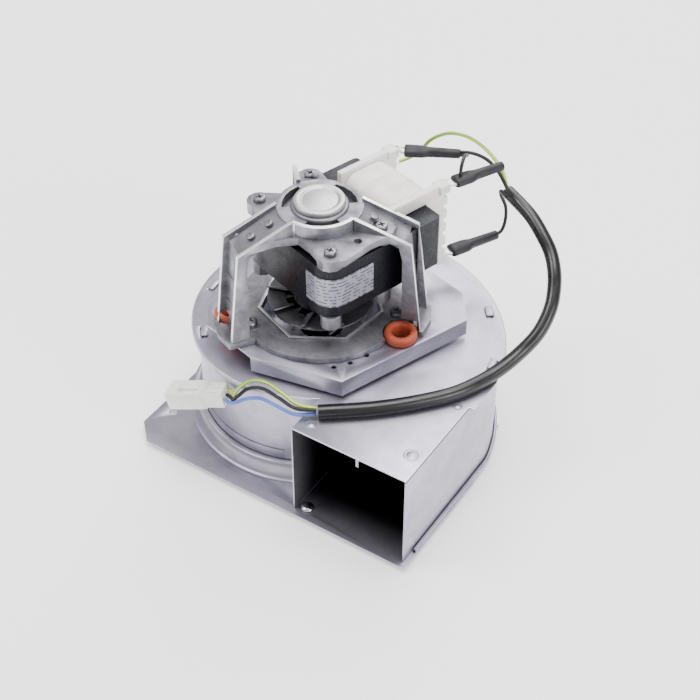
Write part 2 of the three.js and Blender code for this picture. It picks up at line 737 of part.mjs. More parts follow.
function lowerShield() {
  const cup = [
    [SHAFT_R + 0.6, 76],
    [9.5, 76],
    [12, 79],
    [12, 85.5],
    [15, 86.9],
    [6.3, 86.9],
    [6.3, 77],
    [SHAFT_R + 0.6, 77],
  ];
  const legs = SCREWS.map((p) => {
    const degrees = p.angle() * THREE.MathUtils.RAD2DEG;
    const outline = [point(9, -6), point(p.length(), -4.6), point(p.length(), 4.6), point(9, 6)];
    return join(turn(prism(outline, 83, 86.6), degrees), disc(5, 80, 86.9, p.x, p.y, 10));
  });
  const holes = SCREWS.map((p) => disc(SCREW.hole, 70, 90, p.x, p.y, 8));
  return cut(join(turned(cup, 0, 0, 18), ...legs), ...holes, disc(6.3, 77, 90, 0, 0, 18));
}

// A shorted copper turn laid on the pole beside the bore.
function shadingRing(side) {
  const z0 = STACK.top + 0.35;
  const frame = block(14.6, -9, z0, 20.6, 9, z0 + 1.6);
  const eye = block(16.8, -6.8, z0 - 1, 18.4, 6.8, z0 + 3);
  return turn(cut(frame, eye), MOTOR_TURN + (side > 0 ? 0 : 180));
}

// The label wraps the rounded front corner of the stack.
function ratingLabel() {
  const { half, front, corner } = STACK;
  const line = (off) => [
    point(15.5, front - off),
    ...arc(half - corner, front + corner, corner + off, 270, 360, 6),
    point(half + off, 6),
  ];
  return turn(prism([...line(0.6), ...line(0.3).reverse()], 93, 109), MOTOR_TURN);
}

// ---- Rotor ----
function wheelBlade(i) {
  const { r, eye, sheet, top, bottom } = WHEEL;
  const root = polar(eye + 0.6, 0);
  const tip = polar(r - 0.2, -9);
  const bow = point((root.x + tip.x) / 2, (root.y + tip.y) / 2).add(polar(1.6, 60));
  const curve = new THREE.QuadraticBezierCurve(root, bow, tip).getPoints(2);
  const side = (sign) =>
    curve.map((p, k) => {
      const a = curve[Math.max(k - 1, 0)];
      const b = curve[Math.min(k + 1, curve.length - 1)];
      const across = point(a.y - b.y, b.x - a.x).setLength((sign * sheet) / 2);
      return p.clone().add(across);
    });
  const made = prism([...side(-1), ...side(1).reverse()], bottom + 0.3, top - 0.3);
  return turn(made, (360 / WHEEL.blades) * i);
}

function wheel() {
  const { r, eye, top, bottom, sheet } = WHEEL;
  const back = [
    [6.6, top - 4],
    [17, top - 4],
    [22, top - sheet],
    [r, top - sheet],
    [r, top],
    [21.6, top],
    [16.6, top - 4 + sheet],
    [6.6, top - 4 + sheet],
  ];
  const ring = [
    [eye, bottom],
    [r, bottom],
    [r, bottom + sheet],
    [eye, bottom + sheet],
  ];
  const blades = Array.from({ length: WHEEL.blades }, (_, i) => wheelBlade(i));
  return join(turned(back, 0, 0, 36), turned(ring, 0, 0, 36), ...blades);
}

function coolingFan() {
  const plate = disc(13, 72.4, 73.2, 0, 0, 18);
  const vanes = Array.from({ length: 9 }, (_, i) => {
    const arm = block(8, -4.4, 72.4, 17, 4.4, 73.2);
    const vane = move(block(-0.4, -4.4, 0, 10, 4.4, 0.8).rotate([38, 0, 0]), 16.4, 0, 72.4);
    return turn(join(arm, vane), 40 * i);
  });
  return cut(join(plate, ...vanes), disc(SHAFT_R + 0.15, 60, 90, 0, 0, 20));
}

function rotor() {
  const onShaft = SHAFT_R + 0.15;
  const shaft = [
    [0, 22],
    [SHAFT_R - 0.5, 22],
    [SHAFT_R, 22.6],
    [SHAFT_R, 124.6],
    [SHAFT_R - 0.5, 125.2],
    [0, 125.2],
  ];
  add("rotor_shaft", turned(shaft, 0, 0, 20), FINISH.steel);
  const core = [
    [onShaft, 88.5],
    [STACK.bore - 0.7, 88.5],
    [STACK.bore - 0.7, 113.8],
    [onShaft, 113.8],
  ];
  add("rotor_core", turned(core, 0, 0, 24), FINISH.lamination);
  add("impeller_wheel", wheel(), FINISH.galvanised);
  const hub = [
    [onShaft, 27],
    [6.2, 27],
    [6.2, 43],
    [onShaft, 43],
  ];
  const screwHole = rodAlongX(1.9, 1.9, 0, 12, 14, 0, 32);
  const collar = turned([
    [6, 38.6],
    [12, 38.6],
    [12, 40.6],
    [6, 40.6],
  ]);
  add("impeller_hub", cut(join(turned(hub), collar), screwHole), FINISH.brass);
  add("impeller_set_screw", rodAlongX(1.5, 1.5, 3.1, 6.7, 12, 0, 32), FINISH.steel);
  add("cooling_fan", coolingFan(), FINISH.galvanised);
  const washer = (z, r) => [
    [onShaft, z],
    [r, z],
    [r, z + 0.8],
    [onShaft, z + 0.8],
  ];
  add("thrust_washer_upper", turned(washer(115, 5), 0, 0, 20), FINISH.steel);
  add("heat_slinger", turned(washer(58, 9), 0, 0, 20), FINISH.steel);
}

// ---- Wiring ----
// The sheathed cord leaves the terminals, swings out past the drum and comes to lie along the cover's
// front edge.
const CORD_ROUTE = [
  [53.3, 84.6, 103],
  [59.7, 81.6, 102.4],
  [70.3, 77, 100],
  [79.2, 72.1, 96],
  [86.9, 67.3, 91],
  [92.9, 60.5, 86],
  [96.2, 54.7, 81],
  [98.5, 47.9, 76],
  [98.6, 37.4, 68.6],
  [94.8, 26, 61.8],
  [89.6, 10, 58.2],
  [81.9, -8.6, 57.8],
  [70.9, -23.2, 57.8],
  [55, -39.2, 57.8],
  [34.9, -55.1, 57.8],
];
// Leads from the terminals into the cord, and out of it to the plug connector.
const LEADS = [
  {
    name: "jumper_lead",
    finish: FINISH.blackLead,
    route: [
      [29.1, 77.8, 119.5],
      [32.5, 77.4, 120.6],
      [35.6, 73.5, 124.2],
      [37.6, 67.5, 128],
      [39.4, 62, 128.6],
      [39.8, 60, 124.8],
      [39.85, 60.2, 121.1],
    ],
  },
  {
    name: "line_lead",
    finish: FINISH.blackLead,
    route: [
      [28.2, 79.6, 119.8],
      [34, 82.6, 119.4],
      [40, 85.4, 116.6],
      [45.4, 87, 111.4],
      [49.4, 86.6, 107],
      [52.9, 84.8, 104.2],
    ],
  },
  {
    name: "earth_lead",
    finish: FINISH.earthLead,
    route: [
      [-1, 71.2, 108],
      [2.6, 74.6, 109.6],
      [7.6, 76.6, 114],
      [12.4, 78.4, 121.6],
      [20, 81.6, 126.4],
      [28, 84.6, 126.2],
      [36.4, 87, 122],
      [43.6, 88.8, 115],
      [47.4, 90, 108.6],
      [50.2, 88.6, 104.6],
      [53.4, 86, 102.6],
    ],
  },
  {
    name: "neutral_lead",
    finish: FINISH.blackLead,
    route: [
      [50.6, 80.5, 78],
      [52.2, 83.4, 79.4],
      [52.4, 86.4, 84],
      [51.2, 88, 91],
      [48.8, 87, 97.4],
      [49.2, 85.2, 101.4],
      [52.4, 83.7, 102.3],
    ],
  },
  {
    name: "earth_tail",
    finish: FINISH.earthLead,
    route: [
      [33.7, -54.1, 58.4],
      [26, -58.2, 60.2],
      [15, -56.2, 61],
      [4.4, -54, 60],
      [-2.6, -56, 58.6],
      [-6.6, -60.2, 55],
      [-8.6, -61.2, 50.6],
      [-11.4, -58.6, 47.8],
      [-15.2, -55.8, 46.1],
    ],
  },
  {
    name: "line_tail",
    finish: FINISH.blackLead,
    route: [
      [34.5, -55.9, 59.3],
      [26.4, -60.4, 59.8],
      [15, -58.6, 59.4],
      [4.6, -57, 58.4],
      [-2, -58.6, 56],
      [-5.6, -61.4, 52],
      [-8.4, -62, 48.4],
      [-11, -60.4, 46.9],
      [-14.4, -59.1, 46.1],
    ],
  },
  {
    name: "neutral_tail",
    finish: FINISH.blueLead,
    route: [
      [34.3, -55.6, 56.6],
      [26.8, -61.6, 57.2],
      [15.6, -61.4, 56.8],
      [6, -60.4, 55.6],
      [-1.4, -62.4, 52.6],
      [-5.4, -63.8, 49.6],
      [-9.4, -63.8, 47.2],
      [-13.6, -62.4, 46.1],
    ],
  },
];
const CONNECTOR = {
  at: [-14.8, -59.2, 46],
  to: [-42.9, -66.4, 37],
  wide: 11,
  high: 9.4,
  contacts: 3,
  pitch: 3.4,
};

// Lays a piece that was drawn along x, starting at zero, onto the connector's own line.
function onConnector(made) {
  const from = point3(...CONNECTOR.at);
  const along = point3(...CONNECTOR.to).sub(from).normalize();
  const across = point3(0, 0, 1).cross(along).normalize();
  const up = along.clone().cross(across);
  const placed = new THREE.Matrix4().makeBasis(along, across, up).setPosition(from);
  return solid(geometryOf(made).applyMatrix4(placed));
}

function connector() {
  const { at, to, wide, high, contacts, pitch } = CONNECTOR;
  const length = point3(...to).distanceTo(point3(...at));
  const rows = Array.from({ length: contacts }, (_, i) => (i - (contacts - 1) / 2) * pitch);
  const body = join(
    block(0, -wide / 2 + 0.5, -high / 2 + 0.5, 12, wide / 2 - 0.5, high / 2 - 0.5),
    block(11, -wide / 2, -high / 2, length, wide / 2, high / 2),
    block(13, -2.2, high / 2 - 0.1, 23, 2.2, high / 2 + 1.4),
  );
  const cells = rows.map((y) => block(-1, y - 1.2, -1.2, length + 1, y + 1.2, 1.2));
  const mouth = block(length - 9, -wide / 2 + 1, -high / 2 + 1, length + 1, wide / 2 - 1, high / 2 - 1);
  add("connector_housing", onConnector(cut(body, ...cells, mouth)), FINISH.nylon, cordGroup);
  rows.forEach((y, i) => {
    const pin = rodAlongX(0.8, 0.8, 2.5, 24.5, 10, y);
    add(`connector_pin_${i + 1}`, onConnector(pin), FINISH.brass, cordGroup);
  });
}

function wiring() {
  add("cord_sheath", bar(CORD_ROUTE, CORD_R, 10, 26), FINISH.sheath, cordGroup);
  LEADS.forEach((lead) => add(lead.name, bar(lead.route, LEAD_R, 6, 16), lead.finish, cordGroup));
  connector();
}

housing();
add("support_plate", supportPlate(), FINISH.galvanised);
mounts();
bracketPieces();
motor();
rotor();
wiring();

// The fan stands on its clinch nuts, with the middle of its footprint over the origin.
const size = new THREE.Box3().setFromObject(assembly);
const middle = size.getCenter(new THREE.Vector3());
const fan = new THREE.Group();
fan.add(assembly, cordGroup);
fan.position.set(-middle.x, -middle.y, -size.min.z);

export default fan;
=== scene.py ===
# Looks of a boiler's combustion fan: galvanised scroll housing, cast bracket, shaded-pole motor, wiring.
# Places are written in millimetres from the motor's axis and the top of the base sheet, and `at` turns them
# into metres in the shared frame.
import json
import math

import bpy
from mathutils import Matrix, Vector


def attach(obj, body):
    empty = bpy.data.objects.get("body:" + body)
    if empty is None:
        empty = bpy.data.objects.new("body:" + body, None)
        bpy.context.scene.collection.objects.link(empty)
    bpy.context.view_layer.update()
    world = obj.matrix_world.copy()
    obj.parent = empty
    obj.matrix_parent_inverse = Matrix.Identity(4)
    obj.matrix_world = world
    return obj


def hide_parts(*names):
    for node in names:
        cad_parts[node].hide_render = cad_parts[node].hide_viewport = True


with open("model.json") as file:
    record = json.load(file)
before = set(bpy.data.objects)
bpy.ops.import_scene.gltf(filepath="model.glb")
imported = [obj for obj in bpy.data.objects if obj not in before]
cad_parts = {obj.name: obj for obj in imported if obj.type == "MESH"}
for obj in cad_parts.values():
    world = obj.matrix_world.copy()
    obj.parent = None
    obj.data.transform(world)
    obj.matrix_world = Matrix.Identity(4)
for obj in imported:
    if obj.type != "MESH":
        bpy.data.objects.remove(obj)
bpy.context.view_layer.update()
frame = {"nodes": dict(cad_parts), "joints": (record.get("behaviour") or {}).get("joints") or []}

MM = 0.001
AXIS_X, AXIS_Y = frame["joints"][0]["pos_m"][:2]
BASE_TOP = 0.0035  # top of the base sheet above the surface that the fan stands on
OUTLET_LEFT, OUTLET_RIGHT, OUTLET_FRONT, OUTLET_JOINS = 28.7, 88.7, -67.2, -11.5


def at(x, y, z=0.0):
    """A place in metres from millimetres about the motor's axis."""
    return Vector((x * MM + AXIS_X, y * MM + AXIS_Y, z * MM + BASE_TOP))


def ring(r, degrees):
    """A place in plan at a radius and an angle, in millimetres."""
    return r * math.cos(math.radians(degrees)), r * math.sin(math.radians(degrees))


# ---- Camera, floor and light ----
def look_from(azimuth, elevation, distance, target):
    a, e = math.radians(azimuth), math.radians(elevation)
    back = Vector((math.sin(a) * math.cos(e), -math.cos(a) * math.cos(e), math.sin(e)))
    return target + back * distance, back.to_track_quat("Z", "Y").to_euler()


def studio():
    target = at(-10.5, 41.5, 0)
    lens = bpy.data.cameras.new("studio_camera")
    lens.lens = 77.14
    lens.sensor_width = 36
    camera = bpy.data.objects.new("studio_camera", lens)
    bpy.context.scene.collection.objects.link(camera)
    camera.location, camera.rotation_euler = look_from(33, 42.2, 0.8, target)
    bpy.context.scene.camera = camera

    bpy.ops.object.select_all(action="DESELECT")
    bpy.ops.mesh.primitive_plane_add(size=8, location=(0, 0, 0))
    floor = bpy.context.object
    floor.name = "floor"
    floor.data.materials.append(floor_paper())

    for name, place, size, power in (
        ("key_light", (-0.75, -0.55, 1.3), 0.6, 13),
        ("side_light", (1.2, -0.25, 0.7), 0.6, 10),
        ("back_light", (-0.35, 1.2, 1.1), 0.9, 16),
        ("top_light", (0.1, 0.25, 1.7), 1.0, 30),
    ):
        bpy.ops.object.select_all(action="DESELECT")
        bpy.ops.object.light_add(type="AREA", location=place)
        lamp = bpy.context.object
        lamp.name = name
        lamp.data.size = size
        lamp.data.energy = power
        lamp.rotation_euler = Vector(place).to_track_quat("Z", "Y").to_euler()
    world = bpy.data.worlds.new("studio_world")
    bpy.context.scene.world = world
    world.use_nodes = True
    background = world.node_tree.nodes["Background"]
    background.inputs["Color"].default_value = (1, 1, 1, 1)
    background.inputs["Strength"].default_value = 0.62


# ---- Materials ----
def colour(hex_code):
    """An sRGB hex code as linear red, green, blue and alpha."""
    channels = [int(hex_code[i : i + 2], 16) / 255 for i in (0, 2, 4)]
    return [c / 12.92 if c <= 0.04045 else ((c + 0.055) / 1.055) ** 2.4 for c in channels] + [1.0]


def material(name):
    """A new material, its empty node tree and the object's own coordinates in it."""
    made = bpy.data.materials.new(name)
    made.use_nodes = True
    made.node_tree.nodes.clear()
    return made, made.node_tree, places(made.node_tree)


def node(tree, kind, settings=None, **links):
    """Adds a node. Settings are its own, and links are its sockets, each given a value or another socket."""
    new = tree.nodes.new(kind)
    for key, value in (settings or {}).items():
        setattr(new, key, value)
    for key, value in links.items():
        socket = new.inputs[int(key[1:])] if key[0] == "_" else new.inputs[key.replace("_", " ")]
        if isinstance(value, bpy.types.NodeSocket):
            tree.links.new(value, socket)
        else:
            socket.default_value = value
    return new


def ramp(tree, factor, *stops):
    """A colour ramp between stops of place and linear colour."""
    new = node(tree, "ShaderNodeValToRGB", _0=factor)
    points = new.color_ramp.elements
    while len(points) < len(stops):
        points.new(1)
    for point, (place, value) in zip(points, stops):
        point.position = place
        point.color = value
    return new.outputs["Color"]


def shade(tree, **sockets):
    """The surface shader and the output that it goes to."""
    shader = node(tree, "ShaderNodeBsdfPrincipled", **sockets)
    node(tree, "ShaderNodeOutputMaterial", Surface=shader.outputs[0])


def places(tree, turn_by=(0, 0, 0), stretch=(1, 1, 1)):
    """The object's own coordinates, turned and stretched."""
    coordinates = node(tree, "ShaderNodeTexCoord").outputs["Object"]
    mapping = node(tree, "ShaderNodeMapping", Vector=coordinates, Rotation=turn_by, Scale=stretch)
    return mapping.outputs["Vector"]


def per_mm(size):
    """The texture scale that gives features of this many millimetres on coordinates in metres."""
    return 1000 / size


def noise(tree, where, size_mm, detail=2.0, **sockets):
    """Soft noise with features of a size in millimetres."""
    new = node(tree, "ShaderNodeTexNoise", Vector=where, Scale=per_mm(size_mm), Detail=detail, **sockets)
    return new.outputs[0]


def maths(tree, operation, *values):
    """The result of a sum on values or sockets."""
    inputs = {f"_{i}": value for i, value in enumerate(values)}
    return node(tree, "ShaderNodeMath", {"operation": operation}, **inputs).outputs[0]


def vector_maths(tree, operation, *values, result=0):
    inputs = {f"_{i}": value for i, value in enumerate(values)}
    return node(tree, "ShaderNodeVectorMath", {"operation": operation}, **inputs).outputs[result]


def spread(tree, value, low, high, to_low, to_high, **settings):
    """Takes a value from one range to another."""
    ends = {"_1": low, "_2": high, "_3": to_low, "_4": to_high}
    return node(tree, "ShaderNodeMapRange", settings, Value=value, **ends).outputs[0]


def bumped(tree, strength, distance, height, **under):
    """A surface direction pushed about by a height, over another one if that is given as Normal."""
    new = node(tree, "ShaderNodeBump", Strength=strength, Distance=distance, Height=height, **under)
    return new.outputs[0]


def floor_paper():
    """Matt seamless paper: an even pale sheet with only a trace of tooth."""
    made, tree, here = material("seamless_paper")
    white = colour("FFFFFF")
    shade(
        tree,
        Base_Color=white,
        Roughness=0.9,
        Normal=bumped(tree, 0.03, 0.0002, noise(tree, here, 1.5)),
        Emission_Color=white,
        Emission_Strength=0.4,
    )
    return made


# Painted shade darkens the zinc from just inside the outlet's mouth, fully so by the second of these places.
SHADE_FROM, SHADE_BY = -69, -47
SHADE_DRUM_R = 48.5
# The near-black tone of that painted shade.
PAINTED_SHADE_TONE = "0B0B0E"


def painted_shade_with_depth(tree, here, tone, left, right):
    """Darkens a tone with painted shade from the outlet's mouth inwards, between two sides of the duct and
    within the drum.
    """
    x, y = node(tree, "ShaderNodeSeparateXYZ", Vector=here).outputs[:2]
    depth = spread(tree, y, at(0, SHADE_FROM).y, at(0, SHADE_BY).y, 0, 1, interpolation_type="SMOOTHSTEP")
    past_left = maths(tree, "GREATER_THAN", x, at(left, 0).x)
    before_right = maths(tree, "LESS_THAN", x, at(right, 0).x)
    before_drum = maths(tree, "LESS_THAN", y, at(0, OUTLET_JOINS).y)
    in_duct = maths(tree, "MULTIPLY", maths(tree, "MULTIPLY", past_left, before_right), before_drum)
    from_axis = vector_maths(tree, "SUBTRACT", here, at(0, 0))
    in_plan = vector_maths(tree, "MULTIPLY", from_axis, (1, 1, 0))
    radius = vector_maths(tree, "LENGTH", in_plan, result="Value")
    in_drum = maths(tree, "LESS_THAN", radius, SHADE_DRUM_R * MM)
    share = maths(tree, "MULTIPLY", depth, maths(tree, "MAXIMUM", in_duct, in_drum))
    return node(tree, "ShaderNodeMix", {"data_type": "RGBA"}, _0=share, _6=tone, _7=colour(PAINTED_SHADE_TONE)).outputs[2]


def galvanised_sheet(name, low, middle, high, metal=0.9, shaded_span=None):
    """Hot-dip galvanised steel: frosty zinc with crystals a few millimetres across, faintly rolled."""
    made, tree, here = material(name)
    crystals = node(tree, "ShaderNodeTexVoronoi", Vector=here, Scale=per_mm(5), Randomness=1.0)
    crystal_tone = node(tree, "ShaderNodeSeparateColor", Color=crystals.outputs["Color"]).outputs[0]
    rolling = noise(tree, places(tree, (0, 0, 0.6), (0.12, 1, 1)), 0.7, 3.0)
    cloud = noise(tree, here, 26, 4.0)
    mixed = node(tree, "ShaderNodeMix", {"data_type": "FLOAT"}, Factor=0.16, _2=cloud, _3=crystal_tone)
    tone = ramp(tree, mixed.outputs[0], (0.2, colour(low)), (0.5, colour(middle)), (0.85, colour(high)))
    # A span across the duct gives the tone painted shade deep in the duct and the drum.
    if shaded_span:
        tone = painted_shade_with_depth(tree, here, tone, *shaded_span)
    gloss = spread(tree, mixed.outputs[0], 0.2, 0.8, 0.42, 0.34)
    relief = bumped(tree, 0.04, 0.0001, cloud, Normal=bumped(tree, 0.12, 0.00005, rolling))
    shade(tree, Base_Color=tone, Metallic=metal, Roughness=gloss, Normal=relief)
    return made


def cast_aluminium(name, low, middle, high, rough):
    """Die-cast aluminium: a dull grey skin with a fine grain and cloudy flow marks."""
    made, tree, here = material(name)
    flow = noise(tree, here, 9, 5.0, Roughness=0.6)
    tone = ramp(tree, flow, (0.3, colour(low)), (0.52, colour(middle)), (0.72, colour(high)))
    gloss = spread(tree, flow, 0.3, 0.7, rough, rough - 0.16)
    bump = bumped(tree, 0.22, 0.00012, noise(tree, here, 0.5, 3.0))
    shade(tree, Base_Color=tone, Metallic=0.85, Roughness=gloss, Normal=bump)
    return made


def turned_metal(name, tint, rough):
    """Turned or pressed metal of one tint: bright, with fine marks that are a little darker and duller."""
    made, tree, here = material(name)
    marks = noise(tree, here, 0.8, 2.0)
    tone = ramp(tree, marks, (0.35, [c * 0.82 for c in colour(tint)[:3]] + [1]), (0.65, colour(tint)))
    gloss = spread(tree, marks, 0.3, 0.7, rough + 0.1, rough)
    bump = bumped(tree, 0.08, 0.00004, marks)
    shade(tree, Base_Color=tone, Metallic=1.0, Roughness=gloss, Normal=bump)
    return made


def varnished_laminations():
    """Electrical steel dipped in dark varnish: near-black, with a dull sheen and bare flecks."""
    made, tree, here = material("varnished_laminations")
    flecks = noise(tree, here, 0.9, 4.0)
    pools = noise(tree, here, 8, 3.0)
    tone = ramp(tree, flecks, (0.45, colour("17171E")), (0.66, colour("2B2B34")), (0.82, colour("5A5A63")))
    gloss = spread(tree, pools, 0.3, 0.7, 0.5, 0.28)
    bump = bumped(tree, 0.2, 0.00008, flecks)
    shade(tree, Base_Color=tone, Metallic=0.55, Roughness=gloss, Normal=bump)
    return made


def plastic(name, base, dark, rough, ior=1.5, see_in=0.0, grain_mm=1.2, bump=0.1):
    """A moulded plastic or rubber skin: nearly even colour, soft mottling and a faint moulded texture."""
    made, tree, here = material(name)
    mottle = noise(tree, here, 6, 3.0)
    grain = noise(tree, here, grain_mm, 2.0)
    tone = ramp(tree, mottle, (0.3, colour(dark)), (0.65, colour(base)))
    gloss = spread(tree, mottle, 0.3, 0.7, rough + 0.08, rough - 0.04)
    relief = bumped(tree, bump, 0.0001, grain)
    shade(
        tree,
        Base_Color=tone,
        Roughness=gloss,
        IOR=ior,
        Normal=relief,
        Subsurface_Weight=see_in,
        Subsurface_Radius=(0.003, 0.0022, 0.0018),
        Subsurface_Scale=1.0,
    )
    return made


def insulating_tape():
    """White polyester tape wound round the coil: smooth and faintly shiny, with shallow wrinkles."""
    made, tree, here = material("insulating_tape")
    soft = noise(tree, here, 7, 3.0)
    wrinkle = noise(tree, places(tree, (0, 0, 0.3), (1, 0.3, 1)), 3)
    tone = ramp(tree, soft, (0.3, colour("E6DFD8")), (0.6, colour("F5F1EA")))
    relief = bumped(tree, 0.25, 0.0003, wrinkle)
    shade(
        tree,
        Base_Color=tone,
        Roughness=0.42,
        IOR=1.5,
        Normal=relief,
        Subsurface_Weight=0.25,
        Subsurface_Radius=(0.002, 0.0015, 0.001),
    )
    return made


def earth_insulation():
    """Green and yellow PVC insulation: half of the way round is green, and the stripe turns slowly."""
    made, tree, here = material("earth_insulation")
    yellow, green = colour("CBDD55"), colour("7FA83E")
    round_it, along_it = node(
        tree, "ShaderNodeSeparateXYZ", Vector=node(tree, "ShaderNodeTexCoord").outputs["UV"]
    ).outputs[:2]
    turn = maths(tree, "FRACT", maths(tree, "MULTIPLY_ADD", along_it, 1.5, round_it))
    tone = ramp(tree, turn, (0.0, yellow), (0.49, yellow), (0.53, green), (0.97, green), (1.0, yellow))
    relief = bumped(tree, 0.08, 0.00005, noise(tree, here, 1.0))
    shade(tree, Base_Color=tone, Roughness=0.35, IOR=1.53, Normal=relief)
    return made


def silver_label():
    """Metallised film label: silver-grey with rows of small printed bars that stand for its data."""
    made, tree, here = material("silver_label")
    height = node(tree, "ShaderNodeSeparateXYZ", Vector=here).outputs[2]
    in_row = maths(tree, "PINGPONG", maths(tree, "MULTIPLY", height, per_mm(1.9)), 0.5)
    bars = noise(tree, places(tree, (0, 0, 0.3), (1, 1, 0.5)), 1.6, 0.0)
    ink = maths(tree, "MULTIPLY", maths(tree, "LESS_THAN", in_row, 0.2), maths(tree, "LESS_THAN", bars, 0.53))
    tone = ramp(tree, ink, (0.0, colour("9B9BA8")), (1.0, colour("55555F")))
    shade(tree, Base_Color=tone, Metallic=0.5, Roughness=spread(tree, bars, 0, 1, 0.3, 0.42))
    return made


ZINC = ("9C98A9", "AFACBA", "C6C5CF")
GALVANISED = galvanised_sheet("galvanised_sheet", *ZINC)
# A near-white copy of the zinc as a painted highlight on rounded edges.
EDGE_HIGHLIGHT = galvanised_sheet("galvanised_painted_highlight", "DCDCE4", "E8E8EE", "F2F2F6")
# A darker copy of the zinc that stands for painted shade on faces inside the housing, the cover's underside
# and the wheel, darker still deep in the duct.
SHADED_SHEET = galvanised_sheet("galvanised_painted_shade", "5E5D66", "6C6B74", "7C7B84", 0.6, (-200, 200))
# The base's zinc, with painted shade deep in the duct and within the drum.
BASE_SHADED = galvanised_sheet("galvanised_base_painted_shade", *ZINC, shaded_span=(28.9, 88))
# The cooling fan's sheet is painted dark as painted shade, for the shade in the well under the motor.
SHADED_FAN_SHEET = galvanised_sheet("aluminium_fan_sheet_painted_shade", "55555A", "6A6A6E", "86868A")
CASTING = cast_aluminium("cast_aluminium", "6B6A71", "88878E", "A4A3AA", 0.5)
# A near-white copy of the casting as a painted highlight on rounded edges and rib tops.
RIB_HIGHLIGHT = cast_aluminium("cast_aluminium_painted_highlight", "E4E4EA", "F0F0F4", "FAFAFC", 0.42)
STEEL = turned_metal("turned_steel", "D2D2D6", 0.24)
POLISHED = turned_metal("polished_steel", "E2E2E6", 0.16)
SCREW_ZINC = turned_metal("dull_zinc_screw", "8C8C92", 0.34)
SATIN = turned_metal("satin_steel", "CFCFCF", 0.42)
BRASS = turned_metal("sintered_bronze", "B8975A", 0.35)
COPPER = turned_metal("bare_copper", "C27A55", 0.28)
VARNISHED = varnished_laminations()
SILICONE = plastic("terracotta_silicone", "B5553A", "98412A", 0.45, 1.41, 0.06, 1.5, 0.12)
TAPE = insulating_tape()
NYLON = plastic("natural_nylon", "F1F0EC", "E4E2DC", 0.38, 1.53, 0.3, 0.9, 0.08)
SLEEVE = plastic("pvc_sleeve", "1D1D22", "141418", 0.5, 1.48, 0.0, 0.8, 0.15)
SHEATH = plastic("glossy_pvc_sheath", "0C0C0F", "08080A", 0.3, 1.53, 0.0, 4.0, 0.004)
BLACK_LEAD = plastic("black_pvc", "141417", "0E0E11", 0.4, 1.5)
BLUE_LEAD = plastic("blue_pvc", "5B72C8", "4A60B6", 0.38, 1.53)
EARTH_LEAD = earth_insulation()
LABEL = silver_label()

studio()


# ---- Cords ----
# The routes of the sheathed cord and of its leads, as the frame has them.
CORD_ROUTE = [
    (53.3, 84.6, 103), (59.7, 81.6, 102.4), (70.3, 77, 100), (79.2, 72.1, 96), (86.9, 67.3, 91),
    (92.9, 60.5, 86), (96.2, 54.7, 81), (98.5, 47.9, 76), (98.6, 37.4, 68.6), (94.8, 26, 61.8),
    (89.6, 10, 58.2), (81.9, -8.6, 57.8), (70.9, -23.2, 57.8), (55, -39.2, 57.8), (34.9, -55.1, 57.8),
]
JUMPER_ROUTE = [
    (29.1, 77.8, 119.5), (32.5, 77.4, 120.6), (35.6, 73.5, 124.2), (37.6, 67.5, 128), (39.4, 62, 128.6),
    (39.8, 60, 124.8), (39.85, 60.2, 121.1),
]
LINE_ROUTE = [
    (28.2, 79.6, 119.8), (34, 82.6, 119.4), (40, 85.4, 116.6), (45.4, 87, 111.4), (49.4, 86.6, 107),
    (52.9, 84.8, 104.2),
]
EARTH_ROUTE = [
    (-1, 71.2, 108), (2.6, 74.6, 109.6), (7.6, 76.6, 114), (12.4, 78.4, 121.6), (20, 81.6, 126.4),
    (28, 84.6, 126.2), (36.4, 87, 122), (43.6, 88.8, 115), (47.4, 90, 108.6), (50.2, 88.6, 104.6),
    (53.4, 86, 102.6),
]
NEUTRAL_ROUTE = [
    (50.6, 80.5, 78), (52.2, 83.4, 79.4), (52.4, 86.4, 84), (51.2, 88, 91), (48.8, 87, 97.4),
    (49.2, 85.2, 101.4), (52.4, 83.7, 102.3),
]
EARTH_TAIL_ROUTE = [
    (33.7, -54.1, 58.4), (26, -58.2, 60.2), (15, -56.2, 61), (4.4, -54, 60), (-2.6, -56, 58.6),
    (-6.6, -60.2, 55), (-8.6, -61.2, 50.6), (-11.4, -58.6, 47.8), (-15.2, -55.8, 46.1),
]
LINE_TAIL_ROUTE = [
    (34.5, -55.9, 59.3), (26.4, -60.4, 59.8), (15, -58.6, 59.4), (4.6, -57, 58.4), (-2, -58.6, 56),
    (-5.6, -61.4, 52), (-8.4, -62, 48.4), (-11, -60.4, 46.9), (-14.4, -59.1, 46.1),
]
NEUTRAL_TAIL_ROUTE = [
    (34.3, -55.6, 56.6), (26.8, -61.6, 57.2), (15.6, -61.4, 56.8), (6, -60.4, 55.6), (-1.4, -62.4, 52.6),
    (-5.4, -63.8, 49.6), (-9.4, -63.8, 47.2), (-13.6, -62.4, 46.1),
]
SHEATH_R = 3.4
LEAD_R = 0.9


def smooth_line(points, spans=8):
    """A centripetal Catmull-Rom line through the points, which passes each of them."""
    line = [Vector(p) for p in points]
    line = [line[0] * 2 - line[1], *line, line[-1] * 2 - line[-2]]
    found = []
    for p0, p1, p2, p3 in zip(line, line[1:], line[2:], line[3:]):
        t1 = (p1 - p0).length ** 0.5
        t2 = t1 + (p2 - p1).length ** 0.5
        t3 = t2 + (p3 - p2).length ** 0.5
        for i in range(spans):
            t = t1 + (t2 - t1) * i / spans
            a1 = p0 * ((t1 - t) / t1) + p1 * (t / t1)
            a2 = p1 * ((t2 - t) / (t2 - t1)) + p2 * ((t - t1) / (t2 - t1))
            a3 = p2 * ((t3 - t) / (t3 - t2)) + p3 * ((t - t2) / (t3 - t2))
            b1 = a1 * ((t2 - t) / t2) + a2 * (t / t2)
            b2 = a2 * ((t3 - t) / (t3 - t1)) + a3 * ((t - t1) / (t3 - t1))
            found.append(b1 * ((t2 - t) / (t2 - t1)) + b2 * ((t - t1) / (t2 - t1)))
    return [*found, line[-2]]


